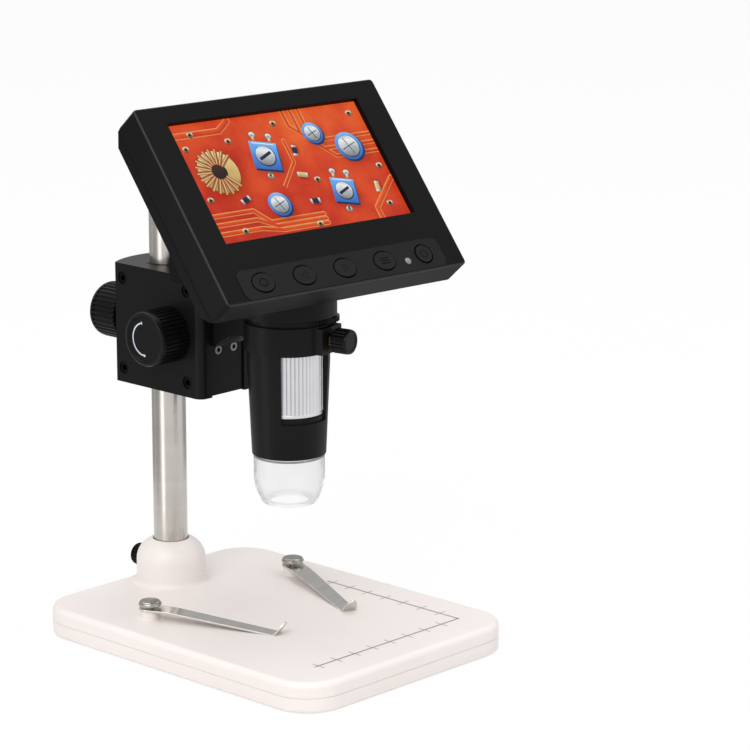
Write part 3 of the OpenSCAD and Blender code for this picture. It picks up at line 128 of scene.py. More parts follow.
# %% [markdown]
# ## Finishes
# Each finish is a Principled shader fed by one of the groups: two close tones are mixed by the
# slow drift, roughness swings a little round its mean, and the grain goes to a Bump node. The
# helpers find the node tree from the socket that they feed, so a call names only its socket.

# %% Helpers for finishes
def principled(name, **constants):
    material = bpy.data.materials.new(name)
    material.use_nodes = True
    tree = material.node_tree
    return material, tree, set_inputs(tree.nodes["Principled BSDF"], **constants)


def add_group(tree, effect, **values):
    node = add_node(tree, "Group")
    node.node_tree = effect
    return set_inputs(node, **values).outputs


def colour_ramp(factor, stops, target):
    tree = target.id_data
    ramp = add_node(tree, "ValToRGB")
    elements = ramp.color_ramp.elements
    while len(elements) < len(stops):
        elements.new(0.5)
    for element, (position, *colour) in zip(elements, stops):
        element.position = position
        element.color = (*colour, 1)
    tree.links.new(factor, ramp.inputs["Fac"])
    tree.links.new(ramp.outputs["Color"], target)
    return ramp.color_ramp


def mix_tones(factor, tone_a, tone_b, target):
    colour_ramp(factor, [(0.3, *tone_a), (0.7, *tone_b)], target)


def swing(value, low, high, target):
    tree = target.id_data
    spread = add_node(
        tree, "MapRange", From_Min=0.25, From_Max=0.75, To_Min=low, To_Max=high)
    tree.links.new(value, spread.inputs["Value"])
    tree.links.new(spread.outputs["Result"], target)


def add_bump(height, strength, distance, target):
    tree = target.id_data
    bump = add_node(tree, "Bump", Strength=strength, Distance=distance)
    tree.links.new(height, bump.inputs["Height"])
    tree.links.new(bump.outputs["Normal"], target)


# %% Moulded and turned finishes
GRAIN_DEPTH, LINE_DEPTH = 0.00005, 0.00003


def moulded(name, tone_a, tone_b, rough_low, rough_high,
            grain=2600, drift=18, bump=0.25, shine=0.5):
    material, tree, shader = principled(name, Specular_IOR_Level=shine)
    effect = add_group(tree, grain_group, Grain=grain, Drift=drift)
    mix_tones(effect["Tone"], tone_a, tone_b, shader.inputs["Base Color"])
    swing(effect["Height"], rough_low, rough_high, shader.inputs["Roughness"])
    add_bump(effect["Height"], bump, GRAIN_DEPTH, shader.inputs["Normal"])
    return material


def turned(name, tone_a, tone_b, rough_low, rough_high, across, bump=0.15):
    material, tree, shader = principled(name, Metallic=1.0)
    x, y, z = across
    effect = add_group(tree, lines_group, Across_X=x, Across_Y=y, Across_Z=z)
    mix_tones(effect["Tone"], tone_a, tone_b, shader.inputs["Base Color"])
    swing(effect["Line"], rough_low, rough_high, shader.inputs["Roughness"])
    add_bump(effect["Line"], bump, LINE_DEPTH, shader.inputs["Normal"])
    return material


# %% [markdown]
# ## Plastics and metals
# The white base is warm and almost smooth. The blacks differ little in tone, and more in gloss:
# knobs and shells are satin, their edges are glossier and a touch lighter, partly a painted
# highlight, and the gaps round the buttons are painted near black as shade.
# Metals get their colour from the tones and their look from the direction of the lines.

# %% Plastics
white_moulded = moulded(
    "white_moulded", (0.84, 0.772, 0.738), (0.865, 0.80, 0.768), 0.36, 0.46, grain=1500, bump=0.06)
black_satin = moulded(
    "black_satin", (0.0052, 0.0052, 0.0056), (0.0068, 0.0067, 0.007), 0.3, 0.42, shine=0.11)
bezel_satin = moulded(
    "bezel_satin", (0.0032, 0.0032, 0.0034), (0.0044, 0.0044, 0.0046), 0.4, 0.52,
    grain=3200, shine=0.06)
# Lighter, glossier black for bevelled edges: the gloss is real, the lighter tone is a painted
# highlight.
edge_highlight_satin = moulded(
    "edge_highlight_satin", (0.0075, 0.0075, 0.008), (0.011, 0.011, 0.0115), 0.26, 0.36,
    grain=3200, drift=60, shine=0.24)
knob_satin = moulded(
    "knob_satin", (0.0036, 0.0036, 0.0039), (0.005, 0.0049, 0.0052), 0.3, 0.4, shine=0.14)
button_satin = moulded(
    "button_satin", (0.0098, 0.0098, 0.0102), (0.0118, 0.0117, 0.0121), 0.45, 0.58,
    grain=4200, shine=0.08)
panel_satin = moulded(
    "panel_satin", (0.0094, 0.0094, 0.0098), (0.0114, 0.0113, 0.0117), 0.4, 0.5,
    grain=4200, shine=0.07)
# Near black for the edges round the buttons: painted shade in the gaps.
painted_gap_shade = moulded(
    "painted_gap_shade", (0.0008, 0.0008, 0.0008), (0.0012, 0.0012, 0.0012), 0.6, 0.7,
    grain=4200, shine=0.02)
strip_gloss = moulded(
    "strip_gloss", (0.009, 0.009, 0.0098), (0.011, 0.0108, 0.0116), 0.22, 0.3, grain=900, bump=0.03)
rubber_matt = moulded(
    "rubber_matt", (0.012, 0.012, 0.012), (0.02, 0.02, 0.02), 0.75, 0.9, grain=900, bump=0.4)
board_mask = moulded(
    "board_mask", (0.012, 0.09, 0.04), (0.02, 0.13, 0.06), 0.3, 0.45, grain=700, drift=90)
battery_wrap = moulded(
    "battery_wrap", (0.03, 0.09, 0.25), (0.04, 0.12, 0.3), 0.25, 0.35, grain=900)
print_grey = moulded(
    "print_grey", (0.20, 0.20, 0.21), (0.26, 0.26, 0.27), 0.5, 0.65, grain=2500, drift=60)
print_light = moulded(
    "print_light", (0.52, 0.57, 0.66), (0.62, 0.67, 0.76), 0.5, 0.65, grain=2500, drift=60)
print_dark = moulded(
    "print_dark", (0.0012, 0.0012, 0.0013), (0.002, 0.002, 0.0021), 0.5, 0.65,
    grain=2500, drift=60, shine=0.03)
lamp_off = moulded(
    "lamp_off", (0.16, 0.16, 0.165), (0.22, 0.22, 0.225), 0.08, 0.14, grain=600, bump=0.02)
print("finishes with the plastics:", len(bpy.data.materials))

# %% Metals
column_steel = turned(
    "column_steel", (0.505, 0.482, 0.452), (0.545, 0.522, 0.49), 0.2, 0.27, (40, 40, 1200), 0.04)
plain_steel = turned(
    "plain_steel", (0.55, 0.55, 0.54), (0.65, 0.65, 0.64), 0.25, 0.38, (900, 900, 900))
dark_steel = turned(
    "dark_steel", (0.007, 0.007, 0.0075), (0.011, 0.011, 0.0115), 0.3, 0.45, (900, 900, 900))
bright_nickel = turned(
    "bright_nickel", (0.62, 0.60, 0.565), (0.70, 0.68, 0.64), 0.12, 0.2, (160, 1600, 160), 0.05)
turned_brass = turned(
    "turned_brass", (0.24, 0.13, 0.04), (0.32, 0.18, 0.06), 0.26, 0.4, (600, 600, 600))
wheel_silver = turned(
    "wheel_silver", (0.63, 0.63, 0.65), (0.69, 0.69, 0.71), 0.34, 0.46, (300, 300, 300))
cap_nickel = turned(
    "cap_nickel", (0.36, 0.345, 0.32), (0.44, 0.425, 0.395), 0.14, 0.22, (900, 900, 300), 0.05)
grey_steel = turned(
    "grey_steel", (0.13, 0.13, 0.128), (0.17, 0.17, 0.167), 0.2, 0.3, (900, 900, 300), 0.05)
print("finishes with the metals:", len(bpy.data.materials))

# %% [markdown]
# ## Clear plastic and glass
# The cap is thin clear plastic: most of the light passes through it, a little is scattered by its
# own white tone, and its index is low. A soft grain breaks the reflections. The lens is polished,
# lets all the light through and has a higher index. The lamps are white and glow a little.

# %% Clear finishes
def clear(name, tone, ior, grain, bump, frost, through=1.0):
    material, tree, shader = principled(
        name, Roughness=0.03, IOR=ior, Transmission_Weight=through)
    effect = add_group(tree, grain_group, Grain=grain, Drift=90)
    paler = tuple(min(1, t + 0.03) for t in tone)
    mix_tones(effect["Tone"], tone, paler, shader.inputs["Base Color"])
    swing(effect["Tone"], frost, frost + 0.06, shader.inputs["Roughness"])
    add_bump(effect["Height"], bump, 0.0001, shader.inputs["Normal"])
    return material


clear_moulded = clear("clear_moulded", (0.985, 0.988, 0.99), 1.3, 260, 0.12, 0.16, 0.86)
lens_polish = clear("lens_polish", (0.92, 0.95, 0.97), 1.5, 400, 0.01, 0.02)
lamp_white = moulded(
    "lamp_white", (0.82, 0.80, 0.70), (0.88, 0.87, 0.80), 0.2, 0.3, grain=900)
set_inputs(lamp_white.node_tree.nodes["Principled BSDF"],
           Emission_Color=(1, 0.97, 0.9, 1), Emission_Strength=0.5)
print("finishes:", len(bpy.data.materials))

# %% [markdown]
# ## Helpers for pieces
# Pieces are drawn in millimetres, in the place where they belong, and turned to metres at the
# end. Every new piece goes through one function: doubles merge, normals turn outwards, sharp
# edges are marked by their angle, and the piece rides on its body. A Weighted Normal modifier lets
# the large flat faces set the shading, so a fine bevel doesn't bend the light across a whole wall.

# %% Finish a piece
MM, DOUBLES = 0.001, 0.0008


def link_mesh(name, bm, materials):
    mesh = bpy.data.meshes.new(name)
    bm.to_mesh(mesh)
    bm.free()
    for material in materials:
        mesh.materials.append(material)
    made = bpy.data.objects.new(name, mesh)
    scene.collection.objects.link(made)
    return made


def finish_piece(name, bm, body, materials, replaces=(), crease=34, closed=True):
    bmesh.ops.remove_doubles(bm, verts=bm.verts, dist=DOUBLES)
    if closed:
        bmesh.ops.recalc_face_normals(bm, faces=bm.faces)
    bmesh.ops.scale(bm, vec=(MM, MM, MM), verts=bm.verts)
    for face in bm.faces:
        face.smooth = True
    for edge in bm.edges:
        bent = edge.calc_face_angle(0)
        edge.smooth = len(edge.link_faces) == 2 and bent < math.radians(crease)
    piece = link_mesh(name, bm, materials)
    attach(piece, body)
    if replaces:
        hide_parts(*replaces)
    if closed:
        even = piece.modifiers.new("even_flats", "WEIGHTED_NORMAL")
        even.keep_sharp = True
    print(name, len(piece.data.polygons), "faces on", body)


# %% Edges, places and paint
def bevel_edges(bm, edges, width, segments=2):
    return bmesh.ops.bevel(
        bm, geom=list(edges), offset=width, offset_type="OFFSET", segments=segments, profile=0.5,
        affect="EDGES", clamp_overlap=True, material=-1)["faces"]


def sharp_edges(bm, angle):
    paired = [e for e in bm.edges if len(e.link_faces) == 2]
    return [e for e in paired if e.calc_face_angle(0) > math.radians(angle)]


def level_edges(bm, z):
    return [e for e in bm.edges if all(abs(v.co.z - z) < 0.01 for v in e.verts)]


def paint(faces, material_index):
    for face in faces:
        face.material_index = material_index


def move(bm, matrix, verts=None):
    bmesh.ops.transform(bm, matrix=matrix, verts=list(verts or bm.verts))


def rotation(degrees, axis="Z"):
    return Matrix.Rotation(math.radians(degrees), 4, axis)


# %% Lathe, arc and merged copy of a solid
def lathe(bm, profile, steps, closed=False, centre=(0, 0)):
    line = [bm.verts.new((r + centre[0], centre[1], z)) for r, z in profile]
    ends = line[1:] + line[:1] if closed else line[1:]
    edges = [bm.edges.new((a, b)) for a, b in zip(line, ends)]
    bmesh.ops.spin(bm, geom=line + edges, cent=(*centre, 0), axis=(0, 0, 1), angle=math.tau,
                   steps=steps, use_merge=True)
    bmesh.ops.remove_doubles(bm, verts=bm.verts, dist=DOUBLES)


def arc(cx, cz, radius, start, end, count):
    steps = [math.radians(start + (end - start) * i / count) for i in range(count + 1)]
    return [(cx + radius * math.cos(a), cz + radius * math.sin(a)) for a in steps]


def solid_copy(node):
    bm = bmesh.new()
    bm.from_mesh(nodes[node].data)
    bmesh.ops.scale(bm, vec=(1000, 1000, 1000), verts=bm.verts)
    bmesh.ops.remove_doubles(bm, verts=bm.verts, dist=0.002)
    bmesh.ops.dissolve_limit(bm, angle_limit=math.radians(1), verts=bm.verts, edges=bm.edges,
                             delimit={"NORMAL"})
    return bm


# %% [markdown]
# ## Base
# The base is two thin mouldings with a seam half way up. Each is a block whose upright edges get
# the large corner radius with a bevel, then the stage's rim gets its fillet, and a hair of bevel
# at the seam leaves the shadow line that the eye expects between two mouldings. The socket of the
# column and the two clip posts are lathe profiles, and the bottom has round seats for pads and
# screws.

# %% Base mouldings
BASE_W, BASE_D, BASE_H, SEAM = 118.6, 155.6, 12.3, 6.1
CORNER, RIM, SOLE_RIM, HAIR = 17, 2.5, 1.5, 0.3
COLUMN_Y = 60.3
CLIP_X, CLIP_Y = 40.5, 29.5
SIDES = (("left", -1), ("right", 1))


def base_block(z0, z1, low_edge, high_edge):
    bm = bmesh.new()
    made = bmesh.ops.create_cube(bm, size=1)["verts"]
    bmesh.ops.scale(bm, vec=(BASE_W, BASE_D, z1 - z0), verts=made)
    bmesh.ops.translate(bm, vec=(0, 0, (z0 + z1) / 2), verts=made)
    upright = [e for e in bm.edges if abs(e.verts[0].co.z - e.verts[1].co.z) > 1]
    bevel_edges(bm, upright, CORNER, 18)
    for z, width in ((z1, high_edge), (z0, low_edge)):
        bevel_edges(bm, level_edges(bm, z), width, 6 if width > 1 else 2)
    return bm


bm = base_block(SEAM, BASE_H, HAIR, RIM)
SUNK = BASE_H - 0.2
socket = [(17.2, SUNK), (16.3, BASE_H + 0.05)] + arc(16.6, BASE_H + 2.35, 2.3, 250, 180, 5)
socket += arc(14.3 - 9.4, 31.3 - 9.4, 9.4, 0, 72, 14)
socket += [(7.6, 30.85), (7.4, 30.6), (7.35, 30.2), (7.35, SUNK)]
lathe(bm, socket, 72, closed=True, centre=(0, COLUMN_Y))
post = [(4.35, BASE_H - 0.1), (4.05, BASE_H + 0.25), (4.0, 16.2), (3.7, 16.5), (1.6, 16.5),
        (1.6, BASE_H - 0.1)]
for _, side in SIDES:
    lathe(bm, post, 40, closed=True, centre=(side * CLIP_X, CLIP_Y))
finish_piece("base_top", bm, "stand", [white_moulded], ["base_top_shell"])

# %% Bottom cover with seats for pads and screws
PAD_SEAT, SCREW_SEAT = (44.3, 62.8, 6.05, 1.0), (44.3, 43.8, 3.0, 2.0)
bm = base_block(0, SEAM, SOLE_RIM, HAIR)
sole = max((f for f in bm.faces if f.normal.z < -0.9), key=lambda f: f.calc_area())
rim = list(sole.edges)
bmesh.ops.delete(bm, geom=[sole], context="FACES_ONLY")
seats = []
for x in (-1, 1):
    for y in (-1, 1):
        for cx, cy, radius, depth in (PAD_SEAT, SCREW_SEAT):
            ring = bmesh.ops.create_circle(
                bm, radius=radius, segments=40, cap_ends=False)["verts"]
            bmesh.ops.translate(bm, vec=(x * cx, y * cy, 0), verts=ring)
            edges = list({e for v in ring for e in v.link_edges})
            seats.append((edges, depth))
            rim += edges
bmesh.ops.triangle_fill(bm, use_beauty=True, edges=rim)


def only(kind, geometry):
    return [g for g in geometry if isinstance(g, kind)]


for edges, depth in seats:
    wall = bmesh.ops.extrude_edge_only(bm, edges=edges)["geom"]
    bmesh.ops.translate(bm, vec=(0, 0, depth), verts=only(bmesh.types.BMVert, wall))
    bmesh.ops.contextual_create(bm, geom=only(bmesh.types.BMEdge, wall))
finish_piece("base_bottom", bm, "stand", [white_moulded], ["base_bottom_cover"])

# %% [markdown]
# ## Ruler on the stage
# The stage carries a printed corner ruler with a tick for each centimetre. Print is a thin film,
# so each line is a flat strip two hundredths of a millimetre above the stage.

# %% Ruler print
RULER_X, RULER_Y = 43.0, -61.2
ACROSS, ALONG, CENTIMETRE = 82, 73, 10
LINE, MARK, TICK, FILM = 0.85, 0.42, 6.4, 0.02
LINE_Z, TICK_Z = BASE_H + FILM, BASE_H + 1.5 * FILM
bm = bmesh.new()


def flat(bm, width, depth, rows=1):
    made = bmesh.ops.create_grid(bm, x_segments=1, y_segments=rows, size=0.5)["verts"]
    bmesh.ops.scale(bm, vec=(width, depth, 1), verts=made)
    return made


def print_strip(bm, x0, y0, x1, y1, z):
    made = flat(bm, x1 - x0, y1 - y0)
    bmesh.ops.translate(bm, vec=((x0 + x1) / 2, (y0 + y1) / 2, z), verts=made)


right = RULER_X + LINE / 2
print_strip(bm, RULER_X - ACROSS, RULER_Y - LINE / 2, right, RULER_Y + LINE / 2, LINE_Z)
print_strip(bm, RULER_X - LINE / 2, RULER_Y, right, RULER_Y + ALONG, LINE_Z)
for i in range(1, ACROSS // CENTIMETRE + 1):
    x = RULER_X - CENTIMETRE * i
    print_strip(bm, x - MARK / 2, RULER_Y - TICK / 2, x + MARK / 2, RULER_Y + TICK / 2, TICK_Z)
for i in range(1, ALONG // CENTIMETRE + 1):
    y = RULER_Y + CENTIMETRE * i
    print_strip(bm, RULER_X - TICK / 2, y - MARK / 2, RULER_X + TICK / 2, y + MARK / 2, TICK_Z)
finish_piece("stage_ruler", bm, "stand", [print_grey], closed=False)

# %% [markdown]
# ## Column
# A drawn steel tube with a turned finish. It is one lathe profile with a small chamfer at the top.

# %% Column
COLUMN_R, COLUMN_BORE, COLUMN_LOW, COLUMN_TOP = 7, 5.8, 6.2, 188.8
bm = bmesh.new()
lathe(bm, [(COLUMN_BORE, COLUMN_LOW), (COLUMN_R, COLUMN_LOW), (COLUMN_R, 188.5),
           (6.7, COLUMN_TOP), (COLUMN_BORE, COLUMN_TOP)], 96, closed=True, centre=(0, COLUMN_Y))
finish_piece("column_tube", bm, "stand", [column_steel], ["column"])

# %% [markdown]
# ## Stage clips
# Each clip is a strip of spring steel. Its outline is drawn flat, cut across where it bends, then
# lifted point by point along the bent path and given its thickness with solidify. The bends get
# several cuts so that they are round, because polished metal shows every kink. The cap screw
# that holds a clip is one lathe profile: a stepped head and the shank below it.

# %% Stage clips
CLIP_T, CLIP_Z, CLIP_TURN = 0.8, 17.0, 21.2
CLIP_PATH = [(-6, 0.0), (10, 0.0), (55, -4.0), (61, 3.68)]
BENDS = [(10, 2.5), (55, 0.9)]


def clip_height(s):
    for (s0, z0), (s1, z1) in zip(CLIP_PATH, CLIP_PATH[1:]):
        if s <= s1:
            return z0 + (z1 - z0) * (s - s0) / (s1 - s0)
    return CLIP_PATH[-1][1]


def clip_bent(s):
    for at, reach in BENDS:
        if abs(s - at) < reach:
            a, b = clip_height(at - reach), clip_height(at + reach)
            t = (s - at + reach) / (2 * reach)
            return (1 - t) ** 2 * a + 2 * t * (1 - t) * clip_height(at) + t * t * b
    return clip_height(s)


def stage_clip(name, side):
    bm = bmesh.new()
    outline = arc(0, 0, 4.5, 75, 285, 20) + [(9.2, -4.0)] + arc(56, 0, 3, -90, 90, 12)
    bm.faces.new([bm.verts.new((x, y, 0)) for x, y in outline + [(9.2, 4.0)]])
    cuts = [at + reach * k / 4 for at, reach in BENDS for k in range(-4, 5)]
    for s in cuts + [20, 30, 40, 50, 57.2, 58]:
        bmesh.ops.bisect_plane(bm, geom=bm.verts[:] + bm.edges[:] + bm.faces[:],
                               plane_co=(s, 0, 0), plane_no=(1, 0, 0))
    for v in bm.verts:
        v.co.z = clip_bent(v.co.x) - CLIP_T / 2
    bmesh.ops.recalc_face_normals(bm, faces=bm.faces)
    if sum(f.normal.z for f in bm.faces) > 0:
        bmesh.ops.reverse_faces(bm, faces=bm.faces)
    bmesh.ops.solidify(bm, geom=bm.faces[:], thickness=-CLIP_T)
    bevel_edges(bm, sharp_edges(bm, 60), 0.18)
    place = Matrix.Translation((side * CLIP_X, CLIP_Y, CLIP_Z))
    move(bm, place @ rotation(-side * CLIP_TURN - 90))
    finish_piece(name + "_clip_strip", bm, name + "_clip", [bright_nickel],
                 [name + "_stage_clip"], crease=50)


for name, side in SIDES:
    stage_clip(name, side)

# %% Clip cap screws
bm = bmesh.new()
cap = [(0, 19.5), (3.7, 19.5), (4.0, 19.4), (4.2, 19.15), (4.2, 18.75), (4.45, 18.7)]
cap += [(4.6, 18.5), (4.6, 17.75), (4.4, 17.5), (1.5, 17.5), (1.5, 12), (0, 12)]
for _, side in SIDES:
    lathe(bm, cap, 48, centre=(side * CLIP_X, CLIP_Y))
finish_piece("clip_caps", bm, "stand", [cap_nickel], ["clip_screws"])

# %% [markdown]
# ## Knobs
# A knob has a ribbed grip and, on the larger ones, a smooth collar round a dished face. The grip
# is a disc whose rim points are drawn in by pairs to make ribs, then extruded. The collar and the
# hub behind it are lathe profiles. A knob is made standing on z = 0 and then laid along its shaft.

# %% Knob maker
RIB_POINTS = 4


def ribbed_disc(bm, radius, depth, ribs, z0, z1):
    ring = bmesh.ops.create_circle(
        bm, radius=radius, segments=ribs * RIB_POINTS, cap_ends=True)["verts"]
    keep = (radius - depth) / radius
    low = [v for i, v in enumerate(ring) if i % RIB_POINTS in (2, 3)]
    bmesh.ops.scale(bm, vec=(keep, keep, 1), verts=low)
    bmesh.ops.translate(bm, vec=(0, 0, z0), verts=ring)
    top = bmesh.ops.extrude_discrete_faces(bm, faces=[ring[0].link_faces[0]])["faces"][0]
    bmesh.ops.translate(bm, vec=(0, 0, z1 - z0), verts=top.verts)
    bmesh.ops.holes_fill(bm, edges=bm.edges, sides=0)


def knob_piece(name, body, node, radius, length, ribs, place, collar,
               depth=0.6, rim=0.9, dish=0.5, hub=0):
    bm = bmesh.new()
    ribbed_disc(bm, radius, depth, ribs, 0, length - collar)
    bevel_edges(bm, level_edges(bm, length - collar) + level_edges(bm, 0), 0.2)
    soft = min(1.0, 0.6 * collar)
    low, edge = length - collar - 0.1, radius - 0.15
    front = [(0, low), (edge, low), (edge, length - soft)]
    front += [(edge - 0.3 * soft, length - 0.35 * soft), (edge - soft, length)]
    front += [(edge - soft - rim, length), (edge - soft - rim - 0.3, length - dish)]
    lathe(bm, front + [(0, length - dish)], 96)
    if hub:
        lathe(bm, [(0, -hub), (5.3, -hub), (5.5, 0.2 - hub), (5.5, 0.3), (0, 0.3)], 48)
    move(bm, place)
    finish_piece(name, bm, body, [knob_satin], [node], crease=24)


def facing(origin, direction):
    tilt = Vector((0, 0, 1)).rotation_difference(Vector(direction))
    return Matrix.Translation(origin) @ tilt.to_matrix().to_4x4()


# %% Five knobs
MID_Z, SHAFT_X, SHAFT_Y = 122.7, 15.8, 41.99
FOCUS_R, FOCUS_LENGTH, FOCUS_DISH = 11.25, 14.4, 0.5
LEFT_KNOB = facing((-SHAFT_X, SHAFT_Y, MID_Z), (-1, 0, 0))
RIGHT_KNOB = facing((SHAFT_X, SHAFT_Y, MID_Z), (1, 0, 0))
for name, place in (("left", LEFT_KNOB), ("right", RIGHT_KNOB)):
    knob_piece(name + "_knob", "focus_drive", name + "_focus_knob",
               FOCUS_R, FOCUS_LENGTH, 40, place, 2.4, dish=FOCUS_DISH)
knob_piece("rear_knob", "rear_lock", "rear_lock_knob", 11.5, 14.6, 36,
           facing((0, 81.0, MID_Z), (0, 1, 0)), 1.8, hub=1.8)
knob_piece("base_knob", "base_lock", "base_lock_knob", 4.7, 5.4, 18,
           facing((0, 75.2, 19.6), (0, 1, 0)), 0.8, rim=0.6, dish=0.3)
HEAD_Y, CLAMP_Z, CLAMP_TURN = -9.24, 128.3, math.radians(12)
CLAMP_OUT = Vector((math.sin(CLAMP_TURN), -math.cos(CLAMP_TURN), 0))


def on_clamp(distance):
    return facing(Vector((0, HEAD_Y, CLAMP_Z)) + CLAMP_OUT * distance, CLAMP_OUT)


knob_piece("ring_knob", "ring_clamp", "clamp_knob", 5.0, 7.0, 20, on_clamp(22.2), 1.0,
           depth=0.45, rim=0.7, dish=0.3)

# %% [markdown]
# ## Turning mark on the focus knob
# The left knob's face has a white arc with an arrow head at each end, to show that it turns both
# ways. It is a ring sector from a spin, with two small triangles, a film above the dished face.

# %% Turning mark
def arc_mark(bm, radius, width, start, end, z, steps):
    a = math.radians(start)
    inner, outer = [bm.verts.new((r * math.cos(a), r * math.sin(a), z))
                    for r in (radius - width / 2, radius + width / 2)]
    edge = bm.edges.new((inner, outer))
    bmesh.ops.spin(bm, geom=[inner, outer, edge], cent=(0, 0, 0), axis=(0, 0, 1),
                   angle=math.radians(end - start), steps=steps)


def arrow_head(bm, radius, at, size, turn, z):
    made = bmesh.ops.create_circle(bm, cap_ends=True, radius=size, segments=3)["verts"]
    spun = Matrix.Rotation(math.radians(turn), 3, "Z")
    bmesh.ops.rotate(bm, cent=(0, 0, 0), matrix=spun, verts=made)
    a = math.radians(at)
    bmesh.ops.translate(bm, vec=(radius * math.cos(a), radius * math.sin(a), z), verts=made)


MARK_R, MARK_Z = 6.6, FOCUS_LENGTH - FOCUS_DISH + 0.03
bm = bmesh.new()
arc_mark(bm, MARK_R, 0.6, 18, 176, MARK_Z, 28)
for at, turn in ((14, 14), (180, 180)):
    arrow_head(bm, MARK_R, at, 0.8, turn, MARK_Z)
move(bm, LEFT_KNOB)
finish_piece("knob_mark", bm, "focus_drive", [print_light], closed=False)

# %% [markdown]
# ## Clamp screw
# A brass thread shows between the boss and its knob. A real helix is too fine to see, so the
# thread is a lathe profile of small ridges half a millimetre apart.

# %% Brass thread
PITCH, RIDGES = 0.5, 14
bm = bmesh.new()
thread = [(0, 0)]
for i in range(RIDGES):
    thread += [(2.22, i * PITCH + 0.02), (2.5, i * PITCH + 0.25)]
thread += [(2.3, 7.1), (2.3, 10.6), (0, 10.6)]
lathe(bm, thread, 32)
move(bm, on_clamp(16.5))
finish_piece("clamp_thread", bm, "ring_clamp", [turned_brass], ["clamp_screw"])

# %% [markdown]
# ## Carriage, slide, ring holder and tube
# These are the exact solids with their edges broken. A copy of the solid is merged, its flat
# triangles are joined, and a fine bevel on the sharp edges catches the light as moulded edges do.
# The bevel faces take a second finish: on the black parts a lighter, glossier black, partly a
# painted highlight, and on the screw heads dark steel, painted shade.
# The neck collar is a plain ring, so a lathe gives it cleaner than a copy would.

# %% Softened solids
def softened(name, node, body, material, width, edge=edge_highlight_satin):
    bm = solid_copy(node)
    # Bevel faces take the second finish: a lighter edge, partly a painted highlight, or on the
    # screw heads a dark one, painted shade.
    paint(bevel_edges(bm, sharp_edges(bm, 30), width), 1)
    finish_piece(name, bm, body, [material, edge], [node])


for name, _ in SIDES:
    softened("carriage_" + name, f"carriage_{name}_shell", "carriage",
             black_satin, 0.35)
softened("holder", "ring_holder", "slide", black_satin, 0.4)
# The screw heads get dark steel on their bevelled edges: painted shade round the heads.
softened("hex_heads", "ring_screws", "slide", grey_steel, 0.3, edge=dark_steel)
softened("slide_bar", "focus_slide", "slide", black_satin, 0.3)
softened("bush_sleeve", "column_bush", "bush", knob_satin, 0.2)
softened("tube", "tube_shell", "microscope", black_satin, 0.3)

# %% Neck collar
HEAD = Matrix.Translation((0, HEAD_Y, 0)) @ rotation(-5.24)
NECK_LOW, NECK_TOP, NECK_BORE, NECK_R = 136.3, 151.6, 16.5, 19.25
bm = bmesh.new()
lathe(bm, [(NECK_BORE, NECK_LOW), (18.7, NECK_LOW), (NECK_R, 136.8), (NECK_R, 151.0),
           (18.9, NECK_TOP), (NECK_BORE, NECK_TOP)], 96, closed=True)
move(bm, HEAD)
finish_piece("neck", bm, "microscope", [black_satin], ["neck_collar"])

# %% [markdown]
# ## Ribbed wheels
# The focus wheel shows through a window in the tube, and the dimmer shows only its rim under the
# neck. The focus wheel is a tube with room for the lens barrel: it is turned on the lathe, and then
# every sixth line of its rim is drawn in to make a groove. The dimmer uses the disc of the knobs.

# %% Focus wheel
GROOVES, LINES, GROOVE_KEEP = 54, 6, 0.976
WHEEL_R, BORE, WHEEL_LOW, WHEEL_TOP = 14.1, 11.6, 98.4, 122.1
bm = bmesh.new()
lathe(bm, [(BORE, WHEEL_LOW), (WHEEL_R, WHEEL_LOW), (WHEEL_R, WHEEL_TOP), (BORE, WHEEL_TOP)],
      GROOVES * LINES, closed=True)


def line_number(v):
    return round(math.atan2(v.co.y, v.co.x) / math.tau * GROOVES * LINES)


rim = [v for v in bm.verts if v.co.xy.length > 14]
grooves = [v for v in rim if line_number(v) % LINES == 0]
bmesh.ops.scale(bm, vec=(GROOVE_KEEP, GROOVE_KEEP, 1), verts=grooves)
ends = level_edges(bm, WHEEL_LOW) + level_edges(bm, WHEEL_TOP)
bevel_edges(bm, [e for e in ends if min(v.co.xy.length for v in e.verts) > 13], 0.25)
lathe(bm, [(BORE, 97.0), (13.9, 97.0), (WHEEL_R, 97.2), (WHEEL_R, 98.2), (13.9, 98.5),
           (BORE, 98.5)], 96, closed=True)
move(bm, HEAD)
finish_piece("wheel_ribs", bm, "wheel", [wheel_silver], ["focus_wheel"], crease=30)

# %% Dimmer
DIMMER = rotation(45) @ Matrix.Translation((0, -10.0, 0))
bm = bmesh.new()
ribbed_disc(bm, 10.2, 0.4, 40, 134.1, 136.0)
lathe(bm, [(0, 135.9), (1, 135.9), (1, 139.8), (0, 139.8)], 24)
move(bm, HEAD @ DIMMER)
finish_piece("dimmer_rim", bm, "dimmer", [knob_satin], ["dimmer_wheel"], crease=30)

# %% [markdown]
# ## Clear cap
# The cap is a thin turned shell: an outer curve down to the mouth, a flange turned inwards, and the
# inner curve back up to the spigot. Both walls are modelled, because light bends at each of them.

# %% Clear cap
CAP_R, CAP_CURVE, CAP_WALL, CURVE_Z = 14.2, 22.68, 1.3, 72.3
CURVE_X = CAP_R - CAP_CURVE
bm = bmesh.new()
outer = [(13.15, 87.85), (13.15, 80.15), (CAP_R, 80.15), (CAP_R, 72.2)]
outer += arc(CURVE_X, CURVE_Z, CAP_CURVE, -3, -32.2, 14)
outer += [(10.4, 60.2), (8.2, 60.2), (8.2, 61.5)]
inner = arc(CURVE_X, CURVE_Z, CAP_CURVE - CAP_WALL, -30.2, -3, 14)
inner += [(12.9, 72.2), (12.9, 78.8), (11.85, 79.4), (11.85, 87.85)]
lathe(bm, outer + inner, 96, closed=True)
move(bm, HEAD)
finish_piece("cap_shell", bm, "cap", [clear_moulded], ["clear_cap"])
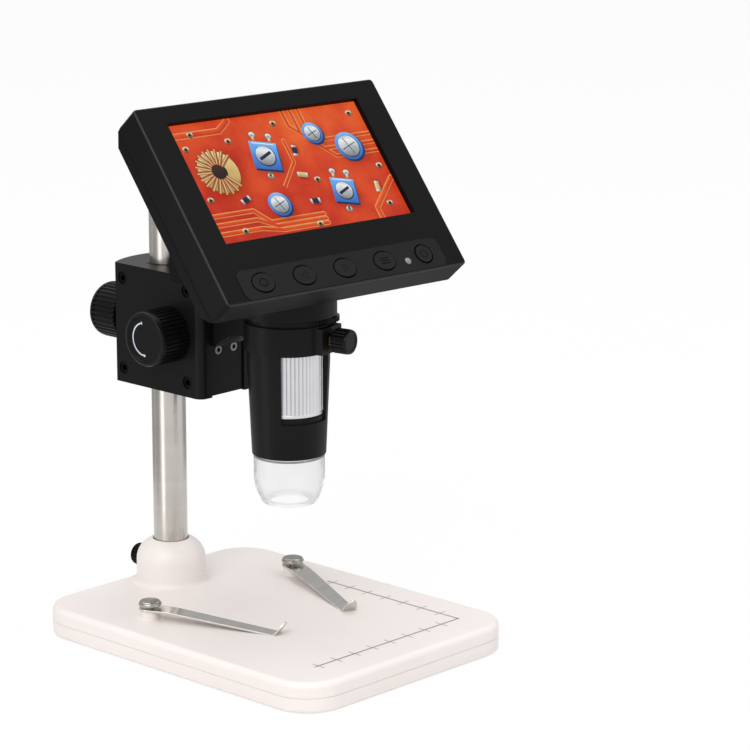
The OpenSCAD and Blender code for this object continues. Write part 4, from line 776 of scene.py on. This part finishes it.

# %% [markdown]
# ## Monitor bezel
# The bezel is the exact solid with three kinds of edges: the outer rim of the face is well rounded,
# the edges of the openings are only broken, and those round the buttons are painted near black, a
# painted shade for the gap.
# The edges are told apart by where they lie in the face's own frame. The rear case gets the
# bezel's corner radius, so that the two meet flush.

# %% Bezel
FACE = HEAD @ Matrix.Translation((-2.2, -12.1, 188.25)) @ rotation(49.7, "X")
FACE_HALF_W, FACE_HALF_H, PANEL_TOP, NEAR = 60.1, 43.75, 0.25, 0.02
BUTTON_Y, BUTTON_REACH = -36.6, 5.8
BUTTON_X = {"ok": -39.8, "left": -19.6, "right": 0.6, "menu": 20.8, "power": 41.1}
BUTTON_CENTRES = [Vector((x, BUTTON_Y)) for x in BUTTON_X.values()]
bm = solid_copy("monitor_bezel")
move(bm, FACE.inverted())


def on_level(bm, z, low, high):
    flat = [e for e in sharp_edges(bm, 40) if all(abs(v.co.z - z) < NEAR for v in e.verts)]
    return [e for e in flat if low < max(out_to(v) for v in e.verts) < high]


def out_to(v):
    return max(abs(v.co.x) / FACE_HALF_W, abs(v.co.y) / FACE_HALF_H)


def round_button(edge):
    return any(all((v.co.xy - centre).length < BUTTON_REACH for v in edge.verts)
               for centre in BUTTON_CENTRES)


rounded = bevel_edges(bm, on_level(bm, 0, 0.99, 1.01), 0.6, 4)
picture_edges = [e for e in on_level(bm, 0, 0, 0.9) if all(v.co.y > -20 for v in e.verts)]
panel_edges = on_level(bm, PANEL_TOP, 0, 1)
holes = [e for e in panel_edges if round_button(e)]
rounded += bevel_edges(bm, [e for e in panel_edges if e not in holes], 0.1)
# Rounded edges take the lighter, glossier edge finish, partly a painted highlight.
paint(rounded, 1)
# The edges round the button holes are painted near black: painted shade.
paint(bevel_edges(bm, holes, 0.1), 3)
paint([f for f in bm.faces if all(abs(v.co.z - PANEL_TOP) < 0.005 for v in f.verts)], 2)
bevel_edges(bm, picture_edges, 0.3)
move(bm, FACE)
bezel_finishes = [bezel_satin, edge_highlight_satin, panel_satin, painted_gap_shade]
finish_piece("bezel", bm, "microscope", bezel_finishes, ["monitor_bezel"])

# %% Rear case
bm = solid_copy("monitor_rear_shell")
move(bm, FACE.inverted())


def on_corner(edge):
    return all(abs(abs(v.co.x) - FACE_HALF_W) < NEAR and abs(abs(v.co.y) - FACE_HALF_H) < NEAR
               for v in edge.verts)


bevel_edges(bm, [e for e in sharp_edges(bm, 60) if on_corner(e)], 1.6, 5)
# Long edges take the lighter, glossier edge finish, partly a painted highlight.
paint(bevel_edges(bm, [e for e in sharp_edges(bm, 30) if e.calc_length() > 4], 0.4), 1)
move(bm, FACE)
finish_piece("rear_case", bm, "microscope", [bezel_satin, edge_highlight_satin],
             ["monitor_rear_shell"])

# %% [markdown]
# ## Buttons
# Four oval buttons and a round one stand a little out of the face. Each is a disc, stretched to an
# oval, raised with a rounded shoulder that is painted near black, a painted shade for the gap round
# it. Small generic signs are printed on them, and a domed status light, turned on the lathe, sits
# beside the round one.

# %% Buttons
KEY_LOW, KEY_TOP = -3.6, 0.5


def button_piece(label, rx, ry):
    bm = bmesh.new()
    ring = bmesh.ops.create_circle(bm, radius=1, segments=64, cap_ends=True)["verts"]
    bmesh.ops.scale(bm, vec=(rx, ry, 1), verts=ring)
    bmesh.ops.translate(bm, vec=(BUTTON_X[label], BUTTON_Y, KEY_LOW), verts=ring)
    grown = bmesh.ops.extrude_face_region(bm, geom=[ring[0].link_faces[0]])["geom"]
    bmesh.ops.translate(bm, vec=(0, 0, KEY_TOP - KEY_LOW), verts=only(bmesh.types.BMVert, grown))
    bmesh.ops.holes_fill(bm, edges=bm.edges, sides=0)
    # The rounded shoulder is painted near black: painted shade of the gap.
    paint(bevel_edges(bm, level_edges(bm, KEY_TOP), 0.3, 4), 1)
    move(bm, FACE)
    finish_piece(label + "_cap", bm, label + "_key", [button_satin, painted_gap_shade],
                 [label + "_button"])


for label in BUTTON_X:
    button_piece(label, *((4.0, 4.0) if label == "power" else (5.45, 4.15)))

# %% Signs on the buttons
SIGN_Z = 0.52


def print_sign(label, bm, z=0, spin=0):
    place = FACE @ Matrix.Translation((BUTTON_X[label], BUTTON_Y, z))
    move(bm, place @ Matrix.Rotation(spin, 4, "Z"))
    finish_piece(label + "_sign", bm, label + "_key", [print_dark], closed=False)


bm = bmesh.new()
arc_mark(bm, 1.7, 0.4, 0, 360, SIGN_Z, 36)
print_sign("ok", bm)
for label, turn in (("left", 180), ("right", 0)):
    bm = bmesh.new()
    bmesh.ops.create_circle(bm, cap_ends=True, radius=2.0, segments=3)
    bmesh.ops.inset_individual(bm, faces=bm.faces[:], thickness=0.36)
    middle = [f for f in bm.faces if f.calc_center_median().length < 0.05]
    bmesh.ops.delete(bm, geom=middle, context="FACES")
    tip = max(bm.verts, key=lambda v: v.co.length)
    print_sign(label, bm, SIGN_Z, -math.atan2(tip.co.y, tip.co.x) + math.radians(turn))
bm = bmesh.new()
for y in (-1.1, 0, 1.1):
    print_strip(bm, -2.2, y - 0.2, 2.2, y + 0.2, SIGN_Z)
print_sign("menu", bm)
bm = bmesh.new()
arc_mark(bm, 1.6, 0.36, 125, 415, SIGN_Z, 32)
print_strip(bm, -0.18, 0.7, 0.18, 2.1, SIGN_Z)
print_sign("power", bm)

# %% Status light
bm = bmesh.new()
lathe(bm, [(0, 0.55), (0.8, 0.48), (1.25, 0.3), (1.5, 0), (1.5, -6), (0, -6)], 32)
move(bm, FACE @ Matrix.Translation((32.2, BUTTON_Y - 1.7, 0)))
finish_piece("light_dome", bm, "microscope", [lamp_off], ["status_light"])

# %% [markdown]
# ## Live picture
# The screen shows what the lens sees. A made-up view stands here: a red board with blue trimmers,
# cans and a wound ring. It glows, so its finishes feed the emission, and each shape is a flat
# film with its own UV map, which lets one finish shade a part across its width. A see-through
# film with a faded rim lies under each part as its shadow.

# %% Glowing finish
def uv_axes(tree):
    uv = add_node(tree, "UVMap")
    split = add_node(tree, "SeparateXYZ")
    tree.links.new(uv.outputs["UV"], split.inputs["Vector"])
    return split.outputs


def glowing(name, stops, cloud, scale, along=0.0, detail=6):
    material, tree, shader = principled(
        name, Roughness=0.2, Emission_Strength=1.0, Specular_IOR_Level=0.1,
        Base_Color=(0.004, 0.004, 0.004, 1))
    coords = add_node(tree, "TexCoord")
    noise = add_node(tree, "TexNoise", Scale=scale, Detail=detail, Roughness=0.62)
    tree.links.new(coords.outputs["Object"], noise.inputs["Vector"])
    across = uv_axes(tree)
    total = None
    for source, share in ((across["X"], along), (across["Y"], 1 - along - cloud),
                          (noise.outputs["Fac"], cloud)):
        part = add_node(tree, "Math")
        part.operation = "MULTIPLY_ADD"
        part.inputs[1].default_value = share
        part.inputs[2].default_value = 0
        tree.links.new(source, part.inputs[0])
        if total:
            tree.links.new(total, part.inputs[2])
        total = part.outputs[0]
    colour_ramp(total, stops, shader.inputs["Emission Color"])
    return material


# %% Colours of the picture
PICTURE_FINISHES = (
    ("board_red", [(0.22, 0.33, 0.012, 0.005), (0.40, 0.52, 0.026, 0.007),
                   (0.55, 0.66, 0.062, 0.011), (0.75, 0.78, 0.135, 0.022)], 0.68, 42, 0.12, 8),
    ("trace_deep", [(0.25, 0.42, 0.017, 0.005), (0.5, 0.62, 0.050, 0.010),
                    (0.8, 0.74, 0.12, 0.02)], 0.7, 90),
    ("trace_edge", [(0.25, 0.62, 0.17, 0.035), (0.75, 0.78, 0.36, 0.10)], 0.8, 160),
    ("part_blue", [(0.05, 0.025, 0.085, 0.33), (0.4, 0.06, 0.21, 0.60),
                   (0.75, 0.13, 0.38, 0.80), (0.95, 0.30, 0.56, 0.92)], 0.3, 260),
    ("part_deep", [(0.1, 0.006, 0.016, 0.07), (0.9, 0.022, 0.07, 0.24)], 0.4, 300),
    ("part_navy", [(0.1, 0.004, 0.006, 0.016), (0.9, 0.022, 0.03, 0.07)], 0.5, 300),
    ("part_silver", [(0.1, 0.15, 0.16, 0.17), (0.45, 0.42, 0.45, 0.48),
                     (0.7, 0.80, 0.83, 0.84), (0.95, 0.30, 0.31, 0.31)], 0.3, 500),
    ("lead_gold", [(0.15, 0.05, 0.024, 0.010), (0.45, 0.34, 0.22, 0.10),
                   (0.65, 0.80, 0.68, 0.46), (0.9, 0.10, 0.05, 0.02)], 0.3, 600),
    ("wire_copper", [(0.1, 0.10, 0.025, 0.008), (0.45, 0.46, 0.17, 0.05),
                     (0.62, 0.86, 0.52, 0.24), (0.9, 0.14, 0.04, 0.012)], 0.15, 600),
    ("ring_cream", [(0.15, 0.26, 0.13, 0.035), (0.5, 0.60, 0.42, 0.15),
                    (0.85, 0.82, 0.70, 0.38)], 0.5, 240),
    ("hole_black", [(0.2, 0.006, 0.003, 0.003), (0.8, 0.05, 0.02, 0.012)], 0.6, 700),
    ("part_shine", [(0.2, 0.72, 0.76, 0.80), (0.8, 0.96, 0.97, 0.98)], 0.6, 400))
picture_mats = [glowing(*finish) for finish in PICTURE_FINISHES]

# %% Shadow film
soft_shade, tree, shader = principled(
    "soft_shade", Roughness=1.0, Specular_IOR_Level=0.0, Base_Color=(0.03, 0.003, 0.001, 1))
across = uv_axes(tree)
cover = add_node(tree, "Math")
cover.operation = "MULTIPLY"
faded = [(0.0, 0, 0, 0), (0.5, 0.85, 0.85, 0.85), (1.0, 0, 0, 0)]
for i, axis in enumerate("XY"):
    colour_ramp(across[axis], faded, cover.inputs[i]).interpolation = "EASE"
tree.links.new(cover.outputs[0], shader.inputs["Alpha"])
picture_mats.append(soft_shade)
(RED, TRACE, EDGE, BLUE, DEEP, NAVY, SILVER,
 GOLD, COPPER, CREAM, HOLE, SHINE, SHADE) = range(len(picture_mats))
print("picture finishes:", len(picture_mats))

# %% Picture helpers
PICTURE_W, PICTURE_H, PICTURE_Y, PANEL_Z = 95.04, 53.86, 8.95, -2.4
PICTURE = FACE @ Matrix.Translation((0, PICTURE_Y, PANEL_Z))
LAYER = 0.015
bm = bmesh.new()
uv_layer = bm.loops.layers.uv.new("across")


def film(bm, verts, half_x, half_y, matrix, material):
    for face in {f for v in verts for f in v.link_faces}:
        face.material_index = material
        for loop in face.loops:
            x, y, _ = loop.vert.co
            loop[uv_layer].uv = (0.5 + x / (2 * half_x), 0.5 + y / (2 * half_y))
    bmesh.ops.transform(bm, matrix=matrix, verts=verts)


def strip(bm, length, width, matrix, material):
    film(bm, flat(bm, length, width, 4), length / 2, width / 2, matrix, material)


def disc(bm, radius, matrix, material):
    made = bmesh.ops.create_circle(bm, cap_ends=True, radius=radius, segments=40)["verts"]
    film(bm, made, radius, radius, matrix, material)


def at(x, y, layer, turn=0):
    return Matrix.Translation((x, y, LAYER * layer)) @ rotation(turn)


def trace(bm, points, width):
    for (x0, y0), (x1, y1) in zip(points, points[1:]):
        run = math.hypot(x1 - x0, y1 - y0)
        turn = math.degrees(math.atan2(y1 - y0, x1 - x0))
        for wide, layer, finish in ((width, 2, EDGE), (width - 0.8, 2.6, TRACE)):
            strip(bm, run, wide, at((x0 + x1) / 2, (y0 + y1) / 2, layer, turn), finish)
            disc(bm, wide / 2, at(x1, y1, layer + 0.2), finish)


# %% Solder, trimmers and small chips
SOLDER_R, VIA_R = 1.6, 1.5


def solder(bm, x, y, place):
    r = SOLDER_R
    disc(bm, r, place @ at(x, y, 3), HOLE)
    disc(bm, r * 0.88, place @ at(x, y, 4), SILVER)
    disc(bm, r * 0.48, place @ at(x + 0.1 * r, y - 0.12 * r, 5), GOLD)
    disc(bm, r * 0.2, place @ at(x - 0.35 * r, y + 0.4 * r, 6), SHINE)


def trimmer(bm, x, y, turn, size):
    place = at(x, y, 0, turn)
    for dx, side in ((-0.3, 1), (0.3, 1), (0, -1)):
        end = side * (size / 2 + 3)
        solder(bm, dx * size, end, place)
        strip(bm, 1.1, 4.6, place @ at(dx * size, end - side * 2.2, 7), GOLD)
    strip(bm, size * 1.75, size * 1.75, place @ at(0.9, -1.3, 8), SHADE)
    strip(bm, size, size, place @ at(0.5, -1.0, 9), DEEP)
    strip(bm, size, size, place @ at(0, 0, 10), BLUE)
    disc(bm, size * 0.38, place @ at(0.12, -0.2, 11), DEEP)
    disc(bm, size * 0.35, place @ at(0, 0, 12), SILVER)
    strip(bm, size * 0.54, size * 0.11, place @ at(0, 0, 13, 35), NAVY)
    strip(bm, size * 0.8, 0.35, place @ at(0, size * 0.44, 13), SHINE)


def small_chip(bm, x, y, turn, finish):
    place = at(x, y, 0, turn)
    strip(bm, 7.4, 5.0, place @ at(0.4, -0.5, 6), SHADE)
    strip(bm, 4.8, 2.3, place @ at(0, 0, 7), SILVER)
    strip(bm, 2.9, 2.3, place @ at(0, 0, 8), finish)


# %% Cans, ring and vias
def can(bm, x, y, radius):
    strip(bm, radius * 3.3, radius * 3.3, at(x + 1.0, y - 1.2, 8), SHADE)
    disc(bm, radius * 1.05, at(x + 0.5, y - 0.7, 9), DEEP)
    disc(bm, radius, at(x, y, 10), BLUE)
    disc(bm, radius * 0.8, at(x + 0.1, y - 0.12, 11), NAVY)
    disc(bm, radius * 0.76, at(x, y, 12), SILVER)
    for turn in (20, 110):
        strip(bm, radius * 1.2, 0.34, at(x, y, 13, turn), NAVY)


def wound_ring(bm, x, y, radius, turns):
    strip(bm, radius * 3.2, radius * 3.2, at(x + 1.2, y - 1.4, 7), SHADE)
    disc(bm, radius, at(x, y, 8), CREAM)
    disc(bm, radius * 0.42, at(x, y, 10), HOLE)
    on_ring = Matrix.Translation((radius * 0.72, 0, 0))
    for i in range(turns):
        place = at(x, y, 11 + 0.1 * i, 40 + 290 * i / turns)
        strip(bm, radius * 0.74, radius * 0.17, place @ on_ring, COPPER)


def via(bm, x, y):
    disc(bm, VIA_R, at(x, y, 4), GOLD)
    disc(bm, VIA_R * 0.5, at(x, y, 5), HOLE)


# %% Picture shapes
strip(bm, PICTURE_W, PICTURE_H, at(0, 0, 1), RED)
for shift in (0, 4, 8):
    half = shift / 2
    trace(bm, [(-47, -14 - shift), (-26, -14 - shift), (-20 + half, -20 - half),
               (6, -20 - half)], 2.2)
    trace(bm, [(10 + shift, 27), (10 + shift, 20 - shift), (18 + shift, 12 - shift),
               (47, 12 - shift)], 2.0)
trace(bm, [(-47, 22), (-24, 22), (-18, 26)], 3.0)
trace(bm, [(33, -27), (33, -21), (47, -9)], 2.6)
trace(bm, [(-6, -6), (4, 4), (4, 14)], 1.8)
trimmer(bm, -8, 8.5, -13, 12.5)
trimmer(bm, 21, -11.5, -13, 11)
for x, y, radius in ((34, 7.5, 6.4), (19.5, 15.5, 4.8), (-12.5, -13, 5.2)):
    can(bm, x, y, radius)
wound_ring(bm, -33, 4.5, 9.4, 17)
for x, y, turn, finish in ((7, 9, 77, NAVY), (5, -2, -13, CREAM), (-27, -9, 20, NAVY),
                           (38, -12, 77, CREAM), (5, -14, 0, NAVY)):
    small_chip(bm, x, y, turn, finish)
for x, y in ((-43, 16), (-43, -7), (-34, -22), (2, -24), (11, -5), (42, 22), (44, -3),
             (40, -20), (3, 22), (-22, 17), (-38, 22)):
    via(bm, x, y)
for v in bm.verts:
    v.co.x = max(-PICTURE_W / 2, min(PICTURE_W / 2, v.co.x))
    v.co.y = max(-PICTURE_H / 2, min(PICTURE_H / 2, v.co.y))
bmesh.ops.dissolve_degenerate(bm, edges=bm.edges, dist=0.001)
move(bm, PICTURE)
finish_piece("live_picture", bm, "microscope", picture_mats, closed=False)

# %% [markdown]
# ## Finishes for the solids that stay
# The remaining solids keep their shape. Each gets the procedural finish of its slot.

# %% Finishes by slot
slot_finish = {
    "white_plastic": white_moulded, "black_plastic": black_satin, "bezel_plastic": bezel_satin,
    "knob_plastic": knob_satin, "button_plastic": button_satin, "black_rubber": rubber_matt,
    "brushed_column": column_steel, "steel": plain_steel, "dark_steel": dark_steel,
    "nickel": bright_nickel, "brass": turned_brass, "wheel_metal": wheel_silver,
    "clear_plastic": clear_moulded, "lens_glass": lens_polish, "screen": strip_gloss,
    "circuit_board": board_mask, "battery_can": battery_wrap, "lamp_plastic": lamp_white}
for part in frame["record"]["subparts"]:
    solid = nodes[part["node"]]
    solid.data.materials.clear()
    solid.data.materials.append(slot_finish[part["material_slot"]])

# %% [markdown]
# ## Studio
# A pale floor under the object, a large soft lamp on the left, a weaker one on the right, and one
# above. The floor and the world answer camera, glossy and transmission rays with plain white, so
# the background is white and metal mirrors it, while the light on the object stays moderate.

# %% Floor
FLOOR_HALF, FLOOR_Z, FLOOR_WHITE = 6, -0.0002, 0.93


def white_for_eyes(tree):
    path = add_node(tree, "LightPath")
    total = path.outputs["Is Camera Ray"]
    for ray in ("Is Glossy Ray", "Is Transmission Ray"):
        add = add_node(tree, "Math")
        add.operation = "ADD"
        add.use_clamp = True
        tree.links.new(total, add.inputs[0])
        tree.links.new(path.outputs[ray], add.inputs[1])
        total = add.outputs[0]
    return total


def mix_shaders(tree, share, plain, seen, end):
    blend = add_node(tree, "MixShader")
    tree.links.new(share, blend.inputs["Fac"])
    tree.links.new(plain, blend.inputs[1])
    tree.links.new(seen, blend.inputs[2])
    tree.links.new(blend.outputs["Shader"], tree.nodes[end].inputs["Surface"])


floor_paint, tree, shader = principled("floor_paint", Roughness=0.9)
effect = add_group(tree, grain_group, Grain=40)
mix_tones(effect["Tone"], (0.86,) * 3, (0.88,) * 3, shader.inputs["Base Color"])
glow = add_node(tree, "Emission")
share = add_node(tree, "Math")
share.operation = "MULTIPLY"
share.inputs[1].default_value = FLOOR_WHITE
tree.links.new(white_for_eyes(tree), share.inputs[0])
mix_shaders(tree, share.outputs[0], shader.outputs["BSDF"], glow.outputs["Emission"],
            "Material Output")
bm = bmesh.new()
bmesh.ops.create_grid(bm, x_segments=1, y_segments=1, size=FLOOR_HALF)
bmesh.ops.translate(bm, vec=(0, 0, FLOOR_Z), verts=bm.verts)
floor = link_mesh("floor", bm, [floor_paint])
print("floor", tuple(floor.dimensions))

# %% World and lamps
world = bpy.data.worlds.new("studio")
scene.world = world
world.use_nodes = True
tree = world.node_tree
soft = set_inputs(tree.nodes["Background"], Color=(0.95, 0.97, 1, 1), Strength=0.52)
seen = add_node(tree, "Background", Color=(1, 1, 1, 1), Strength=1.0)
mix_shaders(tree, white_for_eyes(tree), soft.outputs["Background"], seen.outputs["Background"],
            "World Output")
AIM = Vector((0, 0, 0.1))


def lamp(name, location, size, watts, tint=(1, 1, 1)):
    data = bpy.data.lights.new(name, "AREA")
    data.shape = "SQUARE"
    data.size = size
    data.energy = watts
    data.color = tint
    source = bpy.data.objects.new(name, data)
    source.location = location
    source.rotation_euler = (AIM - Vector(location)).to_track_quat("-Z", "Y").to_euler()
    source.visible_camera = False
    scene.collection.objects.link(source)


lamp("key", (-1.1, -0.5, 1.0), 0.9, 10.8, (1, 0.985, 0.97))
lamp("fill", (0.6, -1.2, 0.7), 0.9, 2.2)
lamp("top", (0.1, 0.1, 1.4), 1.6, 13)
scene.view_settings.view_transform = "Standard"
print("lamps:", len(bpy.data.lights))

# %% [markdown]
# ## Screens for the metal
# Bare metal has little colour of its own, it shows what stands round it, and in an all white room
# it would look like paper. Photographers set grey screens behind such an object and a bright one
# at its side. These are met by glossy rays alone, so they light nothing and throw no shadow.

# %% Reflection screens
SCREEN_H, SCREEN_Z = 0.2, 0.101


def screen(name, tone, level, places):
    cloth, tree, shader = principled(
        name + "_paint", Roughness=1.0, Specular_IOR_Level=0.0, Emission_Strength=level,
        Base_Color=(0, 0, 0, 1))
    effect = add_group(tree, grain_group, Drift=4)
    paler = tuple(1.1 * t for t in tone)
    mix_tones(effect["Tone"], tone, paler, shader.inputs["Emission Color"])
    bm = bmesh.new()
    for x, y, turn, width in places:
        upright = rotation(turn) @ rotation(90, "X")
        move(bm, Matrix.Translation((x, y, SCREEN_Z)) @ upright, flat(bm, width, SCREEN_H))
    board = link_mesh(name, bm, [cloth])
    for ray in ("camera", "diffuse", "transmission", "volume_scatter", "shadow"):
        setattr(board, "visible_" + ray, False)
    print(name, len(board.data.polygons), "panels")


screen("grey_screens", (0.48, 0.48, 0.48), 1.0, (
    (0.0, 0.25, 0, 0.2), (-0.15, 0.17, 45, 0.14), (0.17, 0.2, -45, 0.14), (0.22, 0.04, -90, 0.24)))
screen("bright_screen", (0.9, 0.88, 0.85), 2.5, ((-0.13, 0.053, 90, 0.045),))
